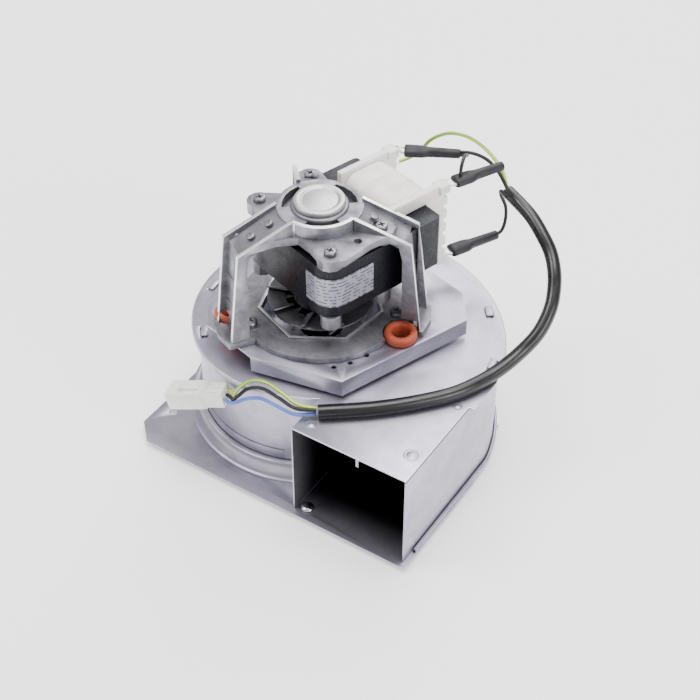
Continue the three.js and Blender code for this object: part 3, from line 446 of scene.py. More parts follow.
def cord_along(name, route, radius, finish, slot, sides=10):
    """A round cord along a route, as a mesh whose UV runs round it and along it."""
    path = [at(*p) for p in smooth_line(route)]
    line = bpy.data.curves.new(name, "CURVE")
    line.dimensions = "3D"
    spline = line.splines.new("POLY")
    spline.points.add(len(path) - 1)
    for corner, place in zip(spline.points, path):
        corner.co = (*place, 1)
    line.bevel_depth = radius * MM
    line.bevel_resolution = sides // 2
    line.use_fill_caps = True
    cord = bpy.data.objects.new(name, line)
    bpy.context.scene.collection.objects.link(cord)
    alone(cord)
    bpy.ops.object.convert(target="MESH")
    cord = bpy.context.object
    return dress(smooth(cord, 50), finish, slot), path


def select_none():
    """Nothing is selected, in object mode."""
    if bpy.context.object and bpy.context.object.mode != "OBJECT":
        bpy.ops.object.mode_set(mode="OBJECT")
    bpy.ops.object.select_all(action="DESELECT")


def alone(piece):
    """Only this piece is selected and active, in object mode."""
    select_none()
    piece.select_set(True)
    bpy.context.view_layer.objects.active = piece


def smooth(piece, degrees):
    """Shades smooth across every edge that bends by less than an angle."""
    alone(piece)
    bpy.ops.object.shade_smooth_by_angle(angle=math.radians(degrees))
    return piece


def refinish(piece, *finishes):
    piece.data.materials.clear()
    for finish in finishes:
        piece.data.materials.append(finish)


def dress(piece, finish, slot, *stands_for, body="housing"):
    """Gives a piece its material, or None to keep what it has, its body and its CAD nodes. The slot is not
    used.
    """
    if finish:
        refinish(piece, finish)
    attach(piece, body)
    if stands_for:
        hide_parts(*stands_for)
    return piece


def wire_up():
    """All cords along their routes. The plug connector and its pins are made here too, at the blue tail's
    end.
    """
    sheath, path = cord_along("sheathed_cord", CORD_ROUTE, SHEATH_R, SHEATH, "black_sheath", 16)
    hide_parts("cord_sheath")
    black, earth = (BLACK_LEAD, "black_insulation"), (EARTH_LEAD, "earth_insulation")
    blue = (BLUE_LEAD, "blue_insulation")
    leads = (
        ("jumper_wire", "jumper_lead", JUMPER_ROUTE, *black, "object"),
        ("line_wire", "line_lead", LINE_ROUTE, *black, "object"),
        ("earth_wire", "earth_lead", EARTH_ROUTE, *earth, "object"),
        ("neutral_wire", "neutral_lead", NEUTRAL_ROUTE, *black, "object"),
        ("earth_tail_wire", "earth_tail", EARTH_TAIL_ROUTE, *earth, "object"),
        ("line_tail_wire", "line_tail", LINE_TAIL_ROUTE, *black, "object"),
        ("neutral_tail_wire", "neutral_tail", NEUTRAL_TAIL_ROUTE, *blue, "connector"),
    )
    plug = plug_connector()
    for name, cad_node, route, finish, slot, far_end in leads:
        wire, path = cord_along(name, route, LEAD_R, finish, slot, 8)
        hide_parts(cad_node)


# ---- Modelling ----
def loose_corner(name, place):
    """Starts a piece as one corner, in edit mode with the corner selected."""
    bpy.ops.object.select_all(action="DESELECT")
    bpy.ops.mesh.primitive_plane_add(size=MM)
    piece = bpy.context.object
    piece.name = name
    bpy.ops.object.mode_set(mode="EDIT")
    bpy.ops.mesh.select_all(action="SELECT")
    bpy.ops.mesh.merge(type="CENTER")
    bpy.ops.transform.translate(value=place)
    return piece


def walk(line):
    """Draws the selected corner out along a line of places."""
    for a, b in zip(line, line[1:]):
        bpy.ops.mesh.extrude_region_move(TRANSFORM_OT_translate={"value": b - a})


def pull(offset):
    """Draws what is selected out by an offset."""
    bpy.ops.mesh.extrude_region_move(TRANSFORM_OT_translate={"value": offset})


def open_up(piece):
    """The whole of a piece is selected in edit mode."""
    alone(piece)
    bpy.ops.object.mode_set(mode="EDIT")
    bpy.ops.mesh.select_all(action="SELECT")


def close_up(merge_mm=0.001):
    """Merges doubles, turns every face outwards and leaves edit mode."""
    bpy.ops.mesh.select_all(action="SELECT")
    bpy.ops.mesh.remove_doubles(threshold=merge_mm * MM)
    bpy.ops.mesh.normals_make_consistent(inside=False)
    bpy.ops.object.mode_set(mode="OBJECT")


def plate(name, outline, bottom, top):
    """A flat plate whose outline in plan is traced corner by corner and pulled up."""
    line = [at(x, y, bottom) for x, y in outline]
    piece = loose_corner(name, line[0])
    walk(line)
    bpy.ops.mesh.select_all(action="SELECT")
    bpy.ops.mesh.edge_face_add()
    pull(Vector((0, 0, (top - bottom) * MM)))
    close_up()
    return piece


def ribbon(name, outline, bottom, top, thick):
    """A strip that stands on edge along a line, its thickness on the side that a positive value gives."""
    line = [at(x, y, bottom) for x, y in outline]
    piece = loose_corner(name, line[0])
    walk(line)
    bpy.ops.mesh.select_all(action="SELECT")
    pull(Vector((0, 0, (top - bottom) * MM)))
    bpy.ops.object.mode_set(mode="OBJECT")
    apply(piece, "SOLIDIFY", thickness=thick * MM, offset=-1, use_even_offset=True)
    open_up(piece)
    close_up()
    return piece


def turned(name, profile, x=0, y=0, sides=64):
    """A piece spun about an upright axis from its profile of radius and height, in millimetres."""
    line = [at(x + r, y, z) for r, z in [*profile, profile[0]]]
    piece = loose_corner(name, line[0])
    walk(line)
    bpy.ops.mesh.select_all(action="SELECT")
    bpy.ops.mesh.spin(steps=sides, angle=2 * math.pi, center=at(x, y), axis=(0, 0, 1))
    close_up()
    return piece


def brick(name, low, high):
    """A block between two corners in millimetres about the part's own origin."""
    select_none()
    centre = [(a + b) / 2 * MM for a, b in zip(low, high)]
    bpy.ops.mesh.primitive_cube_add(size=1, location=centre)
    piece = bpy.context.object
    piece.name = name
    piece.scale = [(b - a) * MM for a, b in zip(low, high)]
    settle(piece)
    return piece


def rod(name, r, low, high, x=0, y=0, sides=32):
    """A round bar that stands between two heights, in the shared frame."""
    select_none()
    bpy.ops.mesh.primitive_cylinder_add(
        vertices=sides, radius=r * MM, depth=(high - low) * MM, location=at(x, y, (low + high) / 2)
    )
    piece = bpy.context.object
    piece.name = name
    settle(piece)
    return piece


def settle(piece):
    """Writes the object's place, turn and size into its mesh."""
    alone(piece)
    bpy.ops.object.transform_apply(location=True, rotation=True, scale=True)


def apply(piece, kind, **settings):
    """Adds a modifier with its settings and applies it."""
    alone(piece)
    modifier = piece.modifiers.new(kind.lower(), kind)
    for key, value in settings.items():
        setattr(modifier, key, value)
    bpy.ops.object.modifier_apply(modifier=modifier.name)


def soften(piece, width, segments=2, angle=30, edge_material=-1):
    """Rounds the sharp edges by a width in millimetres and shades the rest smooth."""
    apply(
        piece,
        "BEVEL",
        width=width * MM,
        segments=segments,
        limit_method="ANGLE",
        angle_limit=math.radians(angle),
        material=edge_material,
    )
    return smooth(piece, 32)


def trim(piece, finish, highlight_finish, width, segments, angle):
    """Rounds the sharp edges, and gives the narrow faces that this makes a brighter finish as a painted
    highlight.
    """
    refinish(piece, finish, highlight_finish)
    return soften(piece, width, segments, angle, edge_material=1)


def line_with(piece, finish, is_inside):
    """Gives the faces that pass a test on their middle and their normal another finish."""
    piece.data.materials.append(finish)
    for face in piece.data.polygons:
        middle = [(there - here) / MM for there, here in zip(face.center, (AXIS_X, AXIS_Y, BASE_TOP))]
        if is_inside(middle, face.normal):
            face.material_index = len(piece.data.materials) - 1


def carve(piece, *tools):
    """Cuts each tool out of the piece and throws the tool away."""
    for tool in tools:
        apply(piece, "BOOLEAN", object=tool, operation="DIFFERENCE", solver="EXACT")
        bpy.data.objects.remove(tool)
    return piece


def gather(name, *pieces):
    """Joins pieces into the first one under a name. A piece with no finish takes the first one's."""
    finish = pieces[0].data.materials[0] if pieces[0].data.materials else None
    for piece in pieces:
        if finish and not piece.data.materials:
            piece.data.materials.append(finish)
    alone(pieces[0])
    for piece in pieces:
        piece.select_set(True)
    bpy.ops.object.join()
    made = bpy.context.object
    made.name = name
    return made


def place(piece, matrix):
    """Lays a piece that was made about its own origin into the shared frame."""
    piece.matrix_world = matrix
    settle(piece)
    return piece


def copy_of(name, cad_node):
    """A merged copy of a node's solid, its flat faces in one piece each, to be finished finer."""
    piece = frame["nodes"][cad_node].copy()
    piece.data = piece.data.copy()
    for key in list(piece.keys()):
        del piece[key]
    piece.parent = None
    piece.name = name
    bpy.context.scene.collection.objects.link(piece)
    open_up(piece)
    bpy.ops.mesh.remove_doubles(threshold=0.002 * MM)
    bpy.ops.mesh.dissolve_limited(angle_limit=math.radians(0.6))
    bpy.ops.object.mode_set(mode="OBJECT")
    return piece


def placed(degrees, x=0, y=0, z=0):
    """The matrix that turns a piece about its own upright axis and sets it down at a place."""
    return Matrix.Translation(at(x, y, z)) @ Matrix.Rotation(math.radians(degrees), 4, "Z")


def finished_copy(name, cad_node, finish, slot, *rounding, body="housing"):
    """A copy of a node's solid with its edges rounded, which stands for the node."""
    return dress(soften(copy_of(name, cad_node), *rounding), finish, slot, cad_node, body=body)


def turned_piece(name, profile, finish, slot, cad_node, x=0, y=0, sides=48, angle=40, body="housing"):
    """A turned part that stands for a node."""
    return dress(smooth(turned(name, profile, x, y, sides), angle), finish, slot, cad_node, body=body)


MOTOR_TURN = -17.5


def in_motor(u, v):
    """A place in plan from the motor's own directions, across and towards the coil."""
    c, s = ring(1, MOTOR_TURN)
    return u * c - v * s, u * s + v * c


def evenly(start, end, steps):
    return [start + (end - start) * i / steps for i in range(steps + 1)]


def arc(x, y, r, start, end, steps):
    return [(x + ring(r, turn)[0], y + ring(r, turn)[1]) for turn in evenly(start, end, steps)]


# ---- Plug connector ----
CONNECTOR_AT, CONNECTOR_TO = (-14.8, -59.2, 46), (-42.9, -66.4, 37)
PIN_ROW = (-3.4, 0, 3.4)


def connector_matrix():
    """The connector is drawn along x from zero, and hangs along its own line over the cover's rim."""
    start, end = at(*CONNECTOR_AT), at(*CONNECTOR_TO)
    along = (end - start).normalized()
    across = Vector((0, 0, 1)).cross(along).normalized()
    up = along.cross(across)
    turn = Matrix((along, across, up)).transposed().to_4x4()
    return Matrix.Translation(start) @ turn


def plug_connector():
    """A three-way nylon housing: a slim rear for the leads, a wider front shell, a latch, and its pins."""
    length = (Vector(CONNECTOR_TO) - Vector(CONNECTOR_AT)).length
    rear = soften(brick("rear", (0, -5, -4.2), (12.4, 5, 4.2)), 0.7, 3)
    shell = brick("shell", (11, -5.5, -4.7), (length, 5.5, 4.7))
    carve(shell, brick("mouth", (length - 9, -4.6, -3.8), (length + 1, 4.6, 3.8)))
    soften(shell, 0.5, 3)
    step = soften(brick("step", (9.6, -5.3, -4.5), (11.4, 5.3, 4.5)), 0.3)
    latch = soften(brick("latch", (13, -2.2, 4.5), (23, 2.2, 6.0)), 0.5, 3)
    hook = soften(brick("hook", (21.4, -2.6, 5.4), (23.4, 2.6, 6.6)), 0.35)
    ribs = [soften(brick("rib", (2.4, y - 0.5, 4.0), (9, y + 0.5, 4.7)), 0.2) for y in (-3.2, 0, 3.2)]
    carve(rear, *[brick("window", (3.5, y - 1, -1), (-1, y + 1, 1)) for y in PIN_ROW])
    dividers = []
    for y in (-1.7, 1.7):
        divider = brick("divider", (length - 9.5, y - 0.35, -3.9), (length - 2, y + 0.35, 3.9))
        dividers.append(soften(divider, 0.1, 1))
    housing = gather("plug_housing", rear, shell, step, latch, hook, *ribs, *dividers)
    place(housing, connector_matrix())
    dress(housing, NYLON, "nylon", "connector_housing")
    pins = []
    for i, y in enumerate(PIN_ROW):
        pin = rod_along(f"plug_pin_{i + 1}", 0.8, 3, 24.5, y)
        place(pin, connector_matrix())
        pins.append(dress(pin, BRASS, "sintered_bronze", f"connector_pin_{i + 1}"))
    return [housing, *pins]


def rod_along(name, r, start, end, y):
    """A round pin along x about the part's own origin, with a pointed lead-in at its far end."""
    select_none()
    bpy.ops.mesh.primitive_cylinder_add(
        vertices=20,
        radius=r * MM,
        depth=(end - start) * MM,
        location=((start + end) / 2 * MM, y * MM, 0),
        rotation=(0, math.pi / 2, 0),
    )
    pin = bpy.context.object
    pin.name = name
    settle(pin)
    return soften(pin, r * 0.45, 3)


wire_up()


# ---- Housing ----
WALL_R, GROWTH, TONGUE, SCROLL_ENDS = 49.7, 0.141, 285, 292
COVER_TOP = 54
BASE_LEFT, BASE_RIGHT, BASE_FRONT = -68.8, 92, -70.6
RIVET_AT = (33.5, -63.5)
TAB_PHI = (66, 100, 150, 205, 246, 272)


def scroll(offset, phi):
    """A place on the scroll's outline, a given offset outside the wall, at an angle from the tongue."""
    return ring(WALL_R + GROWTH * phi + offset, TONGUE - phi)


def scroll_line(offset, start=0.0):
    """The scroll's outline at an offset, from near the tongue round to the outlet's outer side."""
    line = [scroll(offset, phi) for phi in evenly(start, SCROLL_ENDS, 110)]
    return [(min(x, OUTLET_RIGHT + offset), y) for x, y in line]


def scroll_loft(name, section, start, end, steps, thick):
    """A strip that follows the scroll, from its section of offset and height."""
    lines = [[at(*scroll(offset, phi), z) for phi in evenly(start, end, steps)] for offset, z in section]
    return smooth(lofted(name, lines, thick), 50)


def wall_line():
    meets = math.degrees(math.acos(OUTLET_LEFT / WALL_R))
    return [
        (OUTLET_LEFT, OUTLET_FRONT),
        *arc(0, 0, WALL_R, 360 - meets, TONGUE + 2, 10),
        *scroll_line(0),
        (OUTLET_RIGHT, OUTLET_JOINS),
        (OUTLET_RIGHT, OUTLET_FRONT),
    ]


def lofted(name, lines, thick):
    """A pressed strip: a grid with a row along each bend of its section, then given its sheet thickness."""
    select_none()
    across, along = len(lines), len(lines[0])
    bpy.ops.mesh.primitive_grid_add(x_subdivisions=along - 1, y_subdivisions=across - 1, size=MM)
    piece = bpy.context.object
    piece.name = name
    for corner, place_of_it in zip(piece.data.vertices, (p for line in lines for p in line)):
        corner.co = place_of_it
    open_up(piece)
    bpy.ops.mesh.normals_make_consistent(inside=False)
    bpy.ops.object.mode_set(mode="OBJECT")
    apply(piece, "SOLIDIFY", thickness=thick * MM, offset=0, use_even_offset=True)
    return piece


def folded_tab(phi):
    """A crimp tab: it comes up through its slot and is folded over the cover, with a soft outer bend."""
    tab = brick("tab", (-3, -3.5, 0.35), (0.4, 3.5, 1.2))
    open_up(tab)
    bpy.ops.mesh.bevel(offset=0.25 * MM, segments=2, affect="EDGES")
    bpy.ops.object.mode_set(mode="OBJECT")
    x, y = scroll(-0.4, phi)
    return smooth(place(tab, placed(TONGUE - phi, x, y, COVER_TOP)), 40)


def slot_cutter(phi):
    x, y = scroll(-0.4, phi)
    cutter = brick("slot", (-0.9, -4.0, -3), (0.9, 4.0, 3))
    return place(cutter, placed(TONGUE - phi, x, y, COVER_TOP))


def faces_the_wheel(middle, normal):
    """Tells whether a face of the scroll's wall looks into the housing."""
    x, y, z = middle
    if z > 53.2 or abs(normal.z) > 0.5 or x > OUTLET_RIGHT - 0.3 or (x > 74 and y > -14):
        return False
    if abs(x - OUTLET_LEFT) < 2 and y < -46:
        return normal.x > 0.5
    return -(x * normal.x + y * normal.y) > 0.3 * math.hypot(x, y)


def scroll_housing():
    wall = soften(ribbon("scroll_wall_sheet", wall_line(), 0.3, 52.9, 0.8), 0.15, 1, 40)
    # The hem is a swaged band round the drum's foot, with a rounded lower edge.
    hem_section = ((0.1, 9.2), (0.6, 9.5), (1.0, 10.2), (1.1, 13.6), (1.1, 14.8))
    hem = scroll_loft("hem", hem_section, 3, 150, 70, 0.3)
    wall = gather("scroll_wall_sheet", wall, hem, *[folded_tab(phi) for phi in TAB_PHI])
    refinish(wall, GALVANISED)
    # Faces that look into the housing take the painted shade.
    line_with(wall, SHADED_SHEET, faces_the_wheel)
    dress(wall, None, "galvanised_sheet", "scroll_wall")

    edge = [
        (OUTLET_LEFT - 0.4, OUTLET_FRONT),
        (OUTLET_LEFT - 0.4, -44.2),
        (26.5, -45.5),
        (23.8, -47.6),
        *scroll_line(3.5, 2),
        (OUTLET_RIGHT + 0.6, OUTLET_JOINS),
        (OUTLET_RIGHT + 0.6, OUTLET_FRONT),
    ]
    cover = plate("cover_sheet", edge, COVER_TOP - 0.8, COVER_TOP)
    carve(cover, rod("eye", 11, 50, 58), *[slot_cutter(phi) for phi in TAB_PHI])
    # The cover's rounded edges take a painted highlight.
    trim(cover, GALVANISED, EDGE_HIGHLIGHT, 0.3, 3, 40)
    # The cover's underside takes the painted shade.
    line_with(cover, SHADED_SHEET, lambda middle, normal: normal.z < -0.7)
    rim_section = ((3.3, COVER_TOP - 0.25), (3.5, COVER_TOP - 0.6), (3.5, COVER_TOP - 2.6))
    rim = scroll_loft("rim", rim_section, 4, 268, 120, 0.8)
    tab = soften(plate("mouth_tab", [(62.2, -66), (63.7, -66), (63.7, -65.2), (62.2, -65.2)], 47, 53.4), 0.25)
    pips = [dimple(x, y, r) for x, y, r in ((34.5, -60.5, 2.6), (82.9, -52.3, 3.6), (84.6, -14, 2.3))]
    cover = gather("cover_sheet", cover, rim, tab, *pips)
    dress(cover, None, "galvanised_sheet", "cover_plate")


def dimple(x, y, r):
    """A round clinch joint that holds two sheets together: a low dome in a shallow ring."""
    # Each corner is a share of the radius, and a height over the cover.
    profile = (
        (0, -0.2), (1, -0.2), (1, 0.12), (0.94, 0.3), (0.8, 0.34), (0.7, 0.2), (0.62, 0.26), (0.4, 0.5),
        (0, 0.58),
    )
    return smooth(turned("pip", [(share * r, COVER_TOP + z) for share, z in profile], x, y, 32), 50)


def lip_line(out, up):
    """One bend of the lip, round the drum and then straight along the duct."""
    line = [scroll(out, phi) for phi in evenly(124, SCROLL_ENDS, 90)]
    line = [(min(x, OUTLET_RIGHT + out), y) for x, y in line if y > OUTLET_JOINS or x < 0]
    straight = [(OUTLET_RIGHT + out, OUTLET_JOINS - 12 * i) for i in range(5)]
    return [at(x, y, up) for x, y in [*line, *straight]]


# The step begins under the duct's wall, a little before the tongue, and stands clear of the scroll's wall.
# It is low at its far end and grows over its last 36 degrees before the outlet.
STEP_FROM, STEP_TO, STEP_FADE = -8.5, 132, 36
STEP_GAP = 1.1
STEP_LOW, STEP_HIGH = (2.6, 1.4), (8, 8)


def step_line(width, height):
    """One bend of the pressed step: its share of the foot's width and of the step's height."""
    line = []
    for phi in evenly(STEP_FROM, STEP_TO, 90):
        fade = min(max((STEP_TO - phi) / STEP_FADE, 0), 1)
        foot, top = (low + (high - low) * fade for low, high in zip(STEP_LOW, STEP_HIGH))
        line.append(at(*scroll(STEP_GAP + (foot - STEP_GAP) * width, phi), top * height))
    return line


def base_sheet():
    outline = [
        (BASE_LEFT + 10, BASE_FRONT),
        (BASE_RIGHT, BASE_FRONT),
        (BASE_RIGHT, -8),
        *[p for p in reversed(scroll_line(2.6)) if p[1] > 8 and p[0] > BASE_LEFT],
        (BASE_LEFT, 8),
        (BASE_LEFT, BASE_FRONT + 10),
    ]
    sheet = plate("base_sheet", outline, -1, 0)
    carve(
        sheet,
        rod("inlet", 37, -3, 2, sides=96),
        rod("fixing_hole", 2.2, -3, 2, -60.5, -46.9),
        rod("rivet_hole", 2.4, -3, 2, *RIVET_AT),
    )
    # The base takes painted shade inside the housing; its rounded edges take a painted highlight.
    trim(sheet, BASE_SHADED, EDGE_HIGHLIGHT, 0.2, 2, 40)
    mouth_profile = [
        (38.4, -1), (38.4, 0), (35.6, 0.8), (33.6, 2.4), (32.6, 5),
        (32, 10), (31, 10), (31.5, 5), (32.4, 2.2), (34.2, 0),
    ]
    mouth = smooth(turned("mouth", mouth_profile, sides=96), 50)
    bends = (
        (1.0, 0.0), (0.86, 0.03), (0.74, 0.12), (0.62, 0.3), (0.53, 0.52),
        (0.44, 0.74), (0.33, 0.9), (0.2, 0.98), (0.0, 1.0),
    )
    step = smooth(lofted("step", [step_line(width, height) for width, height in bends], 0.9), 50)
    # The step's end by the outlet is closed by a small folded cheek.
    cheek_corners = ((0.3, 0), (7.6, 0), (4.4, 4.2), (2.6, 7.3), (0.3, 7.9))
    cheek_line = [at(*scroll(offset, STEP_FROM), z) for offset, z in cheek_corners]
    cheek = loose_corner("cheek", cheek_line[0])
    walk(cheek_line)
    bpy.ops.mesh.select_all(action="SELECT")
    bpy.ops.mesh.edge_face_add()
    close_up()
    apply(cheek, "SOLIDIFY", thickness=0.7 * MM, offset=0)
    # Past the step a low rolled lip follows the wall's foot to the outlet, with a narrow gap between them.
    lip_bends = ((2.6, 0.0), (2.65, 1.2), (2.4, 1.9), (1.9, 2.2), (1.4, 2.0), (1.1, 1.4), (1.1, 0.0))
    lip = smooth(lofted("lip", [lip_line(out, up) for out, up in lip_bends], 0.3), 60)
    base = gather("base_sheet", sheet, mouth, step, cheek, lip)
    dress(base, None, "galvanised_sheet", "base_plate")


def fasteners_of_the_base():
    nut_profile = [
        (1.6, -3.5), (3.9, -3.5), (4.4, -3.2), (4.6, -2.7),
        (4.6, -1.3), (4.3, -1.02), (1.9, -1.02), (1.6, -1.3),
    ]
    for i, (x, y) in enumerate((RIVET_AT, (-55, -60), (-57, 40), (78, 36))):
        names = f"clinch_nut_piece_{i + 1}", f"clinch_nut_{i + 1}"
        turned_piece(names[0], nut_profile, STEEL, "bright_steel", names[1], x, y, 40)
    rivet_profile = [
        (0, -0.9), (2.1, -0.9), (2.1, 0.3), (3.2, 0.3), (3.15, 0.6),
        (2.7, 1.15), (1.8, 1.5), (0.8, 1.66), (0, 1.7),
    ]
    turned_piece(
        "corner_rivet_piece", rivet_profile, POLISHED, "bright_steel", "corner_rivet", *RIVET_AT, 40, 50
    )


scroll_housing()
base_sheet()
fasteners_of_the_base()


# ---- Motor support and its mounts ----
ARMS = (19, 129, 239)  # the bracket's arms, in degrees round the axis
FOOT_R = 37.5
MOUNT_R = 44
STACK_HOLES = ((26, -15), (26, 15), (-26, 15), (-26, -15))


def round_head(name, x, y, foot, seat, top, shank_r, head_r, drive_deg):
    """A pan-head screw: shank, rounded head and a cross recess pressed into it."""
    profile = [
        (0, foot),
        (shank_r - 0.3, foot),
        (shank_r, foot + 0.5),
        (shank_r, seat),
        (head_r, seat),
        (head_r, seat + 0.7 * (top - seat)),
        (head_r * 0.88, seat + 0.92 * (top - seat)),
        (head_r * 0.6, top),
        (0, top),
    ]
    screw = turned(name, profile, x, y, 40)
    for turn in (0, 90):
        slot = brick("drive", (-head_r * 0.55, -0.45, -1.1), (head_r * 0.55, 0.45, 1.0))
        place(slot, placed(drive_deg + turn, x, y, top))
        carve(screw, slot)
    return smooth(screw, 35)


def mounts_and_screws():
    # The support's rounded edges take a painted highlight.
    support = trim(copy_of("support_sheet", "support_plate"), GALVANISED, EDGE_HIGHLIGHT, 0.35, 3, 25)
    dress(support, None, "galvanised_sheet", "support_plate")
    bush_profile = [
        (4.4, 54.3), (6.3, 54.3), (6.6, 54.8), (6.6, 63.2), (6.2, 63.7), (5.6, 63.9),
        (5.6, 65.1), (6.4, 65.3), (7.6, 65.5), (8.0, 66.3), (8.0, 68.0), (7.7, 69.2),
        (7.0, 69.85), (6.1, 70.0), (5.2, 69.8), (4.6, 69.2), (4.4, 68.2),
    ]
    stud_profile = [(0, 54.3), (3.6, 54.3), (3.6, 59.6), (3.3, 60.2), (2.8, 60.9), (0, 61)]
    for side, degrees in (("right", 2), ("back", 112.5), ("left", 223)):
        x, y = ring(MOUNT_R, degrees)
        mount, stud = f"silicone_mount_{side}", f"mount_stud_{side}"
        turned_piece(f"silicone_bush_{side}", bush_profile, SILICONE, "silicone", mount, x, y, 56, 60)
        turned_piece(f"stud_{side}", stud_profile, STEEL, "bright_steel", stud, x, y, 32)
    for i, degrees in enumerate(ARMS):
        x, y = ring(FOOT_R, degrees)
        screw = round_head(f"foot_screw_piece_{i + 1}", x, y, 62.2, 68.6, 70.9, 1.8, 3.6, 20 + 37 * i)
        dress(screw, SCREW_ZINC, "bright_steel", f"foot_screw_{i + 1}")
    for i, hole in enumerate(STACK_HOLES):
        x, y = in_motor(*hole)
        screw = round_head(f"stack_screw_piece_{i + 1}", x, y, 78.5, 121.6, 123.3, 1.9, 2.9, 12 + 41 * i)
        dress(screw, SCREW_ZINC, "bright_steel", f"stack_screw_{i + 1}")


# ---- Cast bracket ----
CHANNEL_FALLS = 24  # degrees that the floor of an arm's channel falls outwards
LEG_LOW, LEG_HIGH = (46.6, 68), (42.5, 115.2)  # radius and height of a leg's floor at its foot and its top
EJECTOR_MARK = [(0, -0.6), (1.9, -0.6), (1.9, 0.1), (1.6, 0.35), (1.2, 0.35), (1.1, 0.1), (0, 0.1)]


def gets_rib_highlight(middle, normal):
    """The tops of the ribs, the front rim and the lower ring's lip, which get a painted highlight."""
    x, y, z = middle
    for degrees in ARMS:
        c, s = ring(1, degrees)
        along, across = x * c + y * s, y * c - x * s
        if z > 69 and 7.3 < abs(across) < 9.5:
            outward = normal.x * c + normal.y * s
            if (along > 17 and outward * 0.5 + normal.z > 0.45) or (along > 40 and outward > 0.6):
                return True
    return normal.z > 0.6 and (z > 127.5 or (69 < z < 70 and math.hypot(x, y) < 32))


def bracket():
    # The casting's rounded edges, rib tops, rim and lip take a painted highlight.
    casting = trim(copy_of("bracket_casting", "motor_bracket"), CASTING, RIB_HIGHLIGHT, 0.5, 3, 28)
    line_with(casting, RIB_HIGHLIGHT, gets_rib_highlight)
    # A raised collar frames the bearing cap.
    collar_profile = [(9.6, 126.0), (13.6, 126.0), (13.5, 126.9), (13.1, 127.35), (12.4, 127.5), (9.6, 127.5)]
    details = [smooth(turned("cap_collar", collar_profile, sides=96), 50)]
    # Ejector marks lie in the channel of each arm, and short cross ribs in the channel of each leg.
    for degrees in ARMS:
        for r, z in ((26, 124.6), (35, 120.4)):
            x, y = ring(r, degrees)
            # The mark is turned on the motor's axis, then taken to its own origin to be tilted.
            mark = smooth(turned("mark", EJECTOR_MARK, sides=28), 40)
            mark.data.transform(Matrix.Translation(-at(0, 0)))
            tilt = Matrix.Rotation(math.radians(CHANNEL_FALLS), 4, "Y")
            details.append(place(mark, placed(degrees, x, y, z) @ tilt))
        for z in (82, 97):
            (low_r, low_z), (high_r, high_z) = LEG_LOW, LEG_HIGH
            r = low_r - (z - low_z) * (low_r - high_r) / (high_z - low_z)
            cross = soften(brick("cross", (r - 0.6, -7.6, z - 0.45), (r + 0.35, 7.6, z + 0.45)), 0.3)
            details.append(place(cross, placed(degrees)))
    # The lower ring has a land round each foot screw.
    for degrees in ARMS:
        x, y = ring(FOOT_R, degrees)
        land = turned("land", [(2.3, 68.1), (5.0, 68.1), (4.8, 68.55), (2.3, 68.55)], x, y, 32)
        details.append(smooth(land, 40))
    casting = gather("bracket_casting", casting, *details)
    dress(casting, None, "cast_aluminium", "motor_bracket")

    cap_profile = [
        (0, 127.3), (11.4, 127.3), (12.0, 127.9), (12.0, 129.2), (11.8, 129.7), (11.3, 130.0), (9.6, 130.0),
        (9.0, 129.75), (8.6, 129.35), (8.2, 129.3), (7.9, 129.45), (0, 129.5),
    ]
    turned_piece("bearing_cap_piece", cap_profile, SATIN, "bright_steel", "bearing_cap", sides=96)
    for side, low, high in (("upper", 117, 124.4), ("lower", 77.3, 83.8)):
        bush_profile = [
            (2.59, low + 0.3), (2.9, low), (5.7, low), (6, low + 0.3),
            (6, high - 0.3), (5.7, high), (2.9, high), (2.59, high - 0.3),
        ]
        turned_piece(f"{side}_bush", bush_profile, BRASS, "sintered_bronze", f"{side}_bearing", sides=40)


# ---- Motor ----
STACK_HALF, STACK_FRONT, STACK_BACK, STACK_CORNER = 31, -20.5, 47.5, 9.5


def stack_outline(scale=1.0, shift=0.0):
    half, front, back, corner = STACK_HALF, STACK_FRONT, STACK_BACK, STACK_CORNER
    line = [
        *arc(-half + corner, front + corner, corner, 180, 270, 14),
        *arc(half - corner, front + corner, corner, 270, 360, 14),
        *arc(half - 2, back - 2, 2, 0, 90, 5),
        *arc(-half + 2, back - 2, 2, 90, 180, 5),
    ]
    return [in_motor(u * scale, v * scale + shift) for u, v in line]


def open_stack(piece, top, bore_r, window_low, window_high, hole_r, hole_sides):
    """Cuts the rotor's bore, the coil's window and the four screw holes through a piece of the stack."""
    window = brick("window", (*window_low, 80), (*window_high, top))
    place(window, placed(MOTOR_TURN))
    holes = [rod("hole", hole_r, 80, top, *in_motor(u, v), hole_sides) for u in (-26, 26) for v in (-15, 15)]
    carve(piece, rod("bore", bore_r, 80, top, sides=48), window, *holes)


def lamination_stack():
    """One stamped lamination repeated up the stack with a hairline between neighbours, round a plain core."""
    sheet = plate("laminations", stack_outline(), 87.3, 87.83)
    open_stack(sheet, 95, 13.4, (-21.5, 21.5), (21.5, 33), 2.3, 20)
    apply(
        sheet,
        "ARRAY",
        count=41,
        use_relative_offset=False,
        use_constant_offset=True,
        constant_offset_displace=(0, 0, 0.679 * MM),
    )
    core = plate("core", stack_outline(0.991, 0.1), 87.4, 114.9)
    open_stack(core, 120, 13.7, (-21.8, 21.3), (21.8, 33.2), 2.6, 16)
    stack = smooth(gather("laminations", sheet, core), 25)
    dress(stack, VARNISHED, "laminations", "stator_stack")


def pick_long_edges(piece):
    """Selects the edges that run across the coil, from flange to flange."""
    alone(piece)
    bpy.ops.object.mode_set(mode="EDIT")
    bpy.ops.mesh.select_mode(type="EDGE")
    bpy.ops.mesh.select_all(action="DESELECT")
    bpy.ops.object.mode_set(mode="OBJECT")
    for edge in piece.data.edges:
        a, b = (piece.data.vertices[i].co for i in edge.vertices)
        edge.select = abs(a.x - b.x) > MM
    bpy.ops.object.mode_set(mode="EDIT")


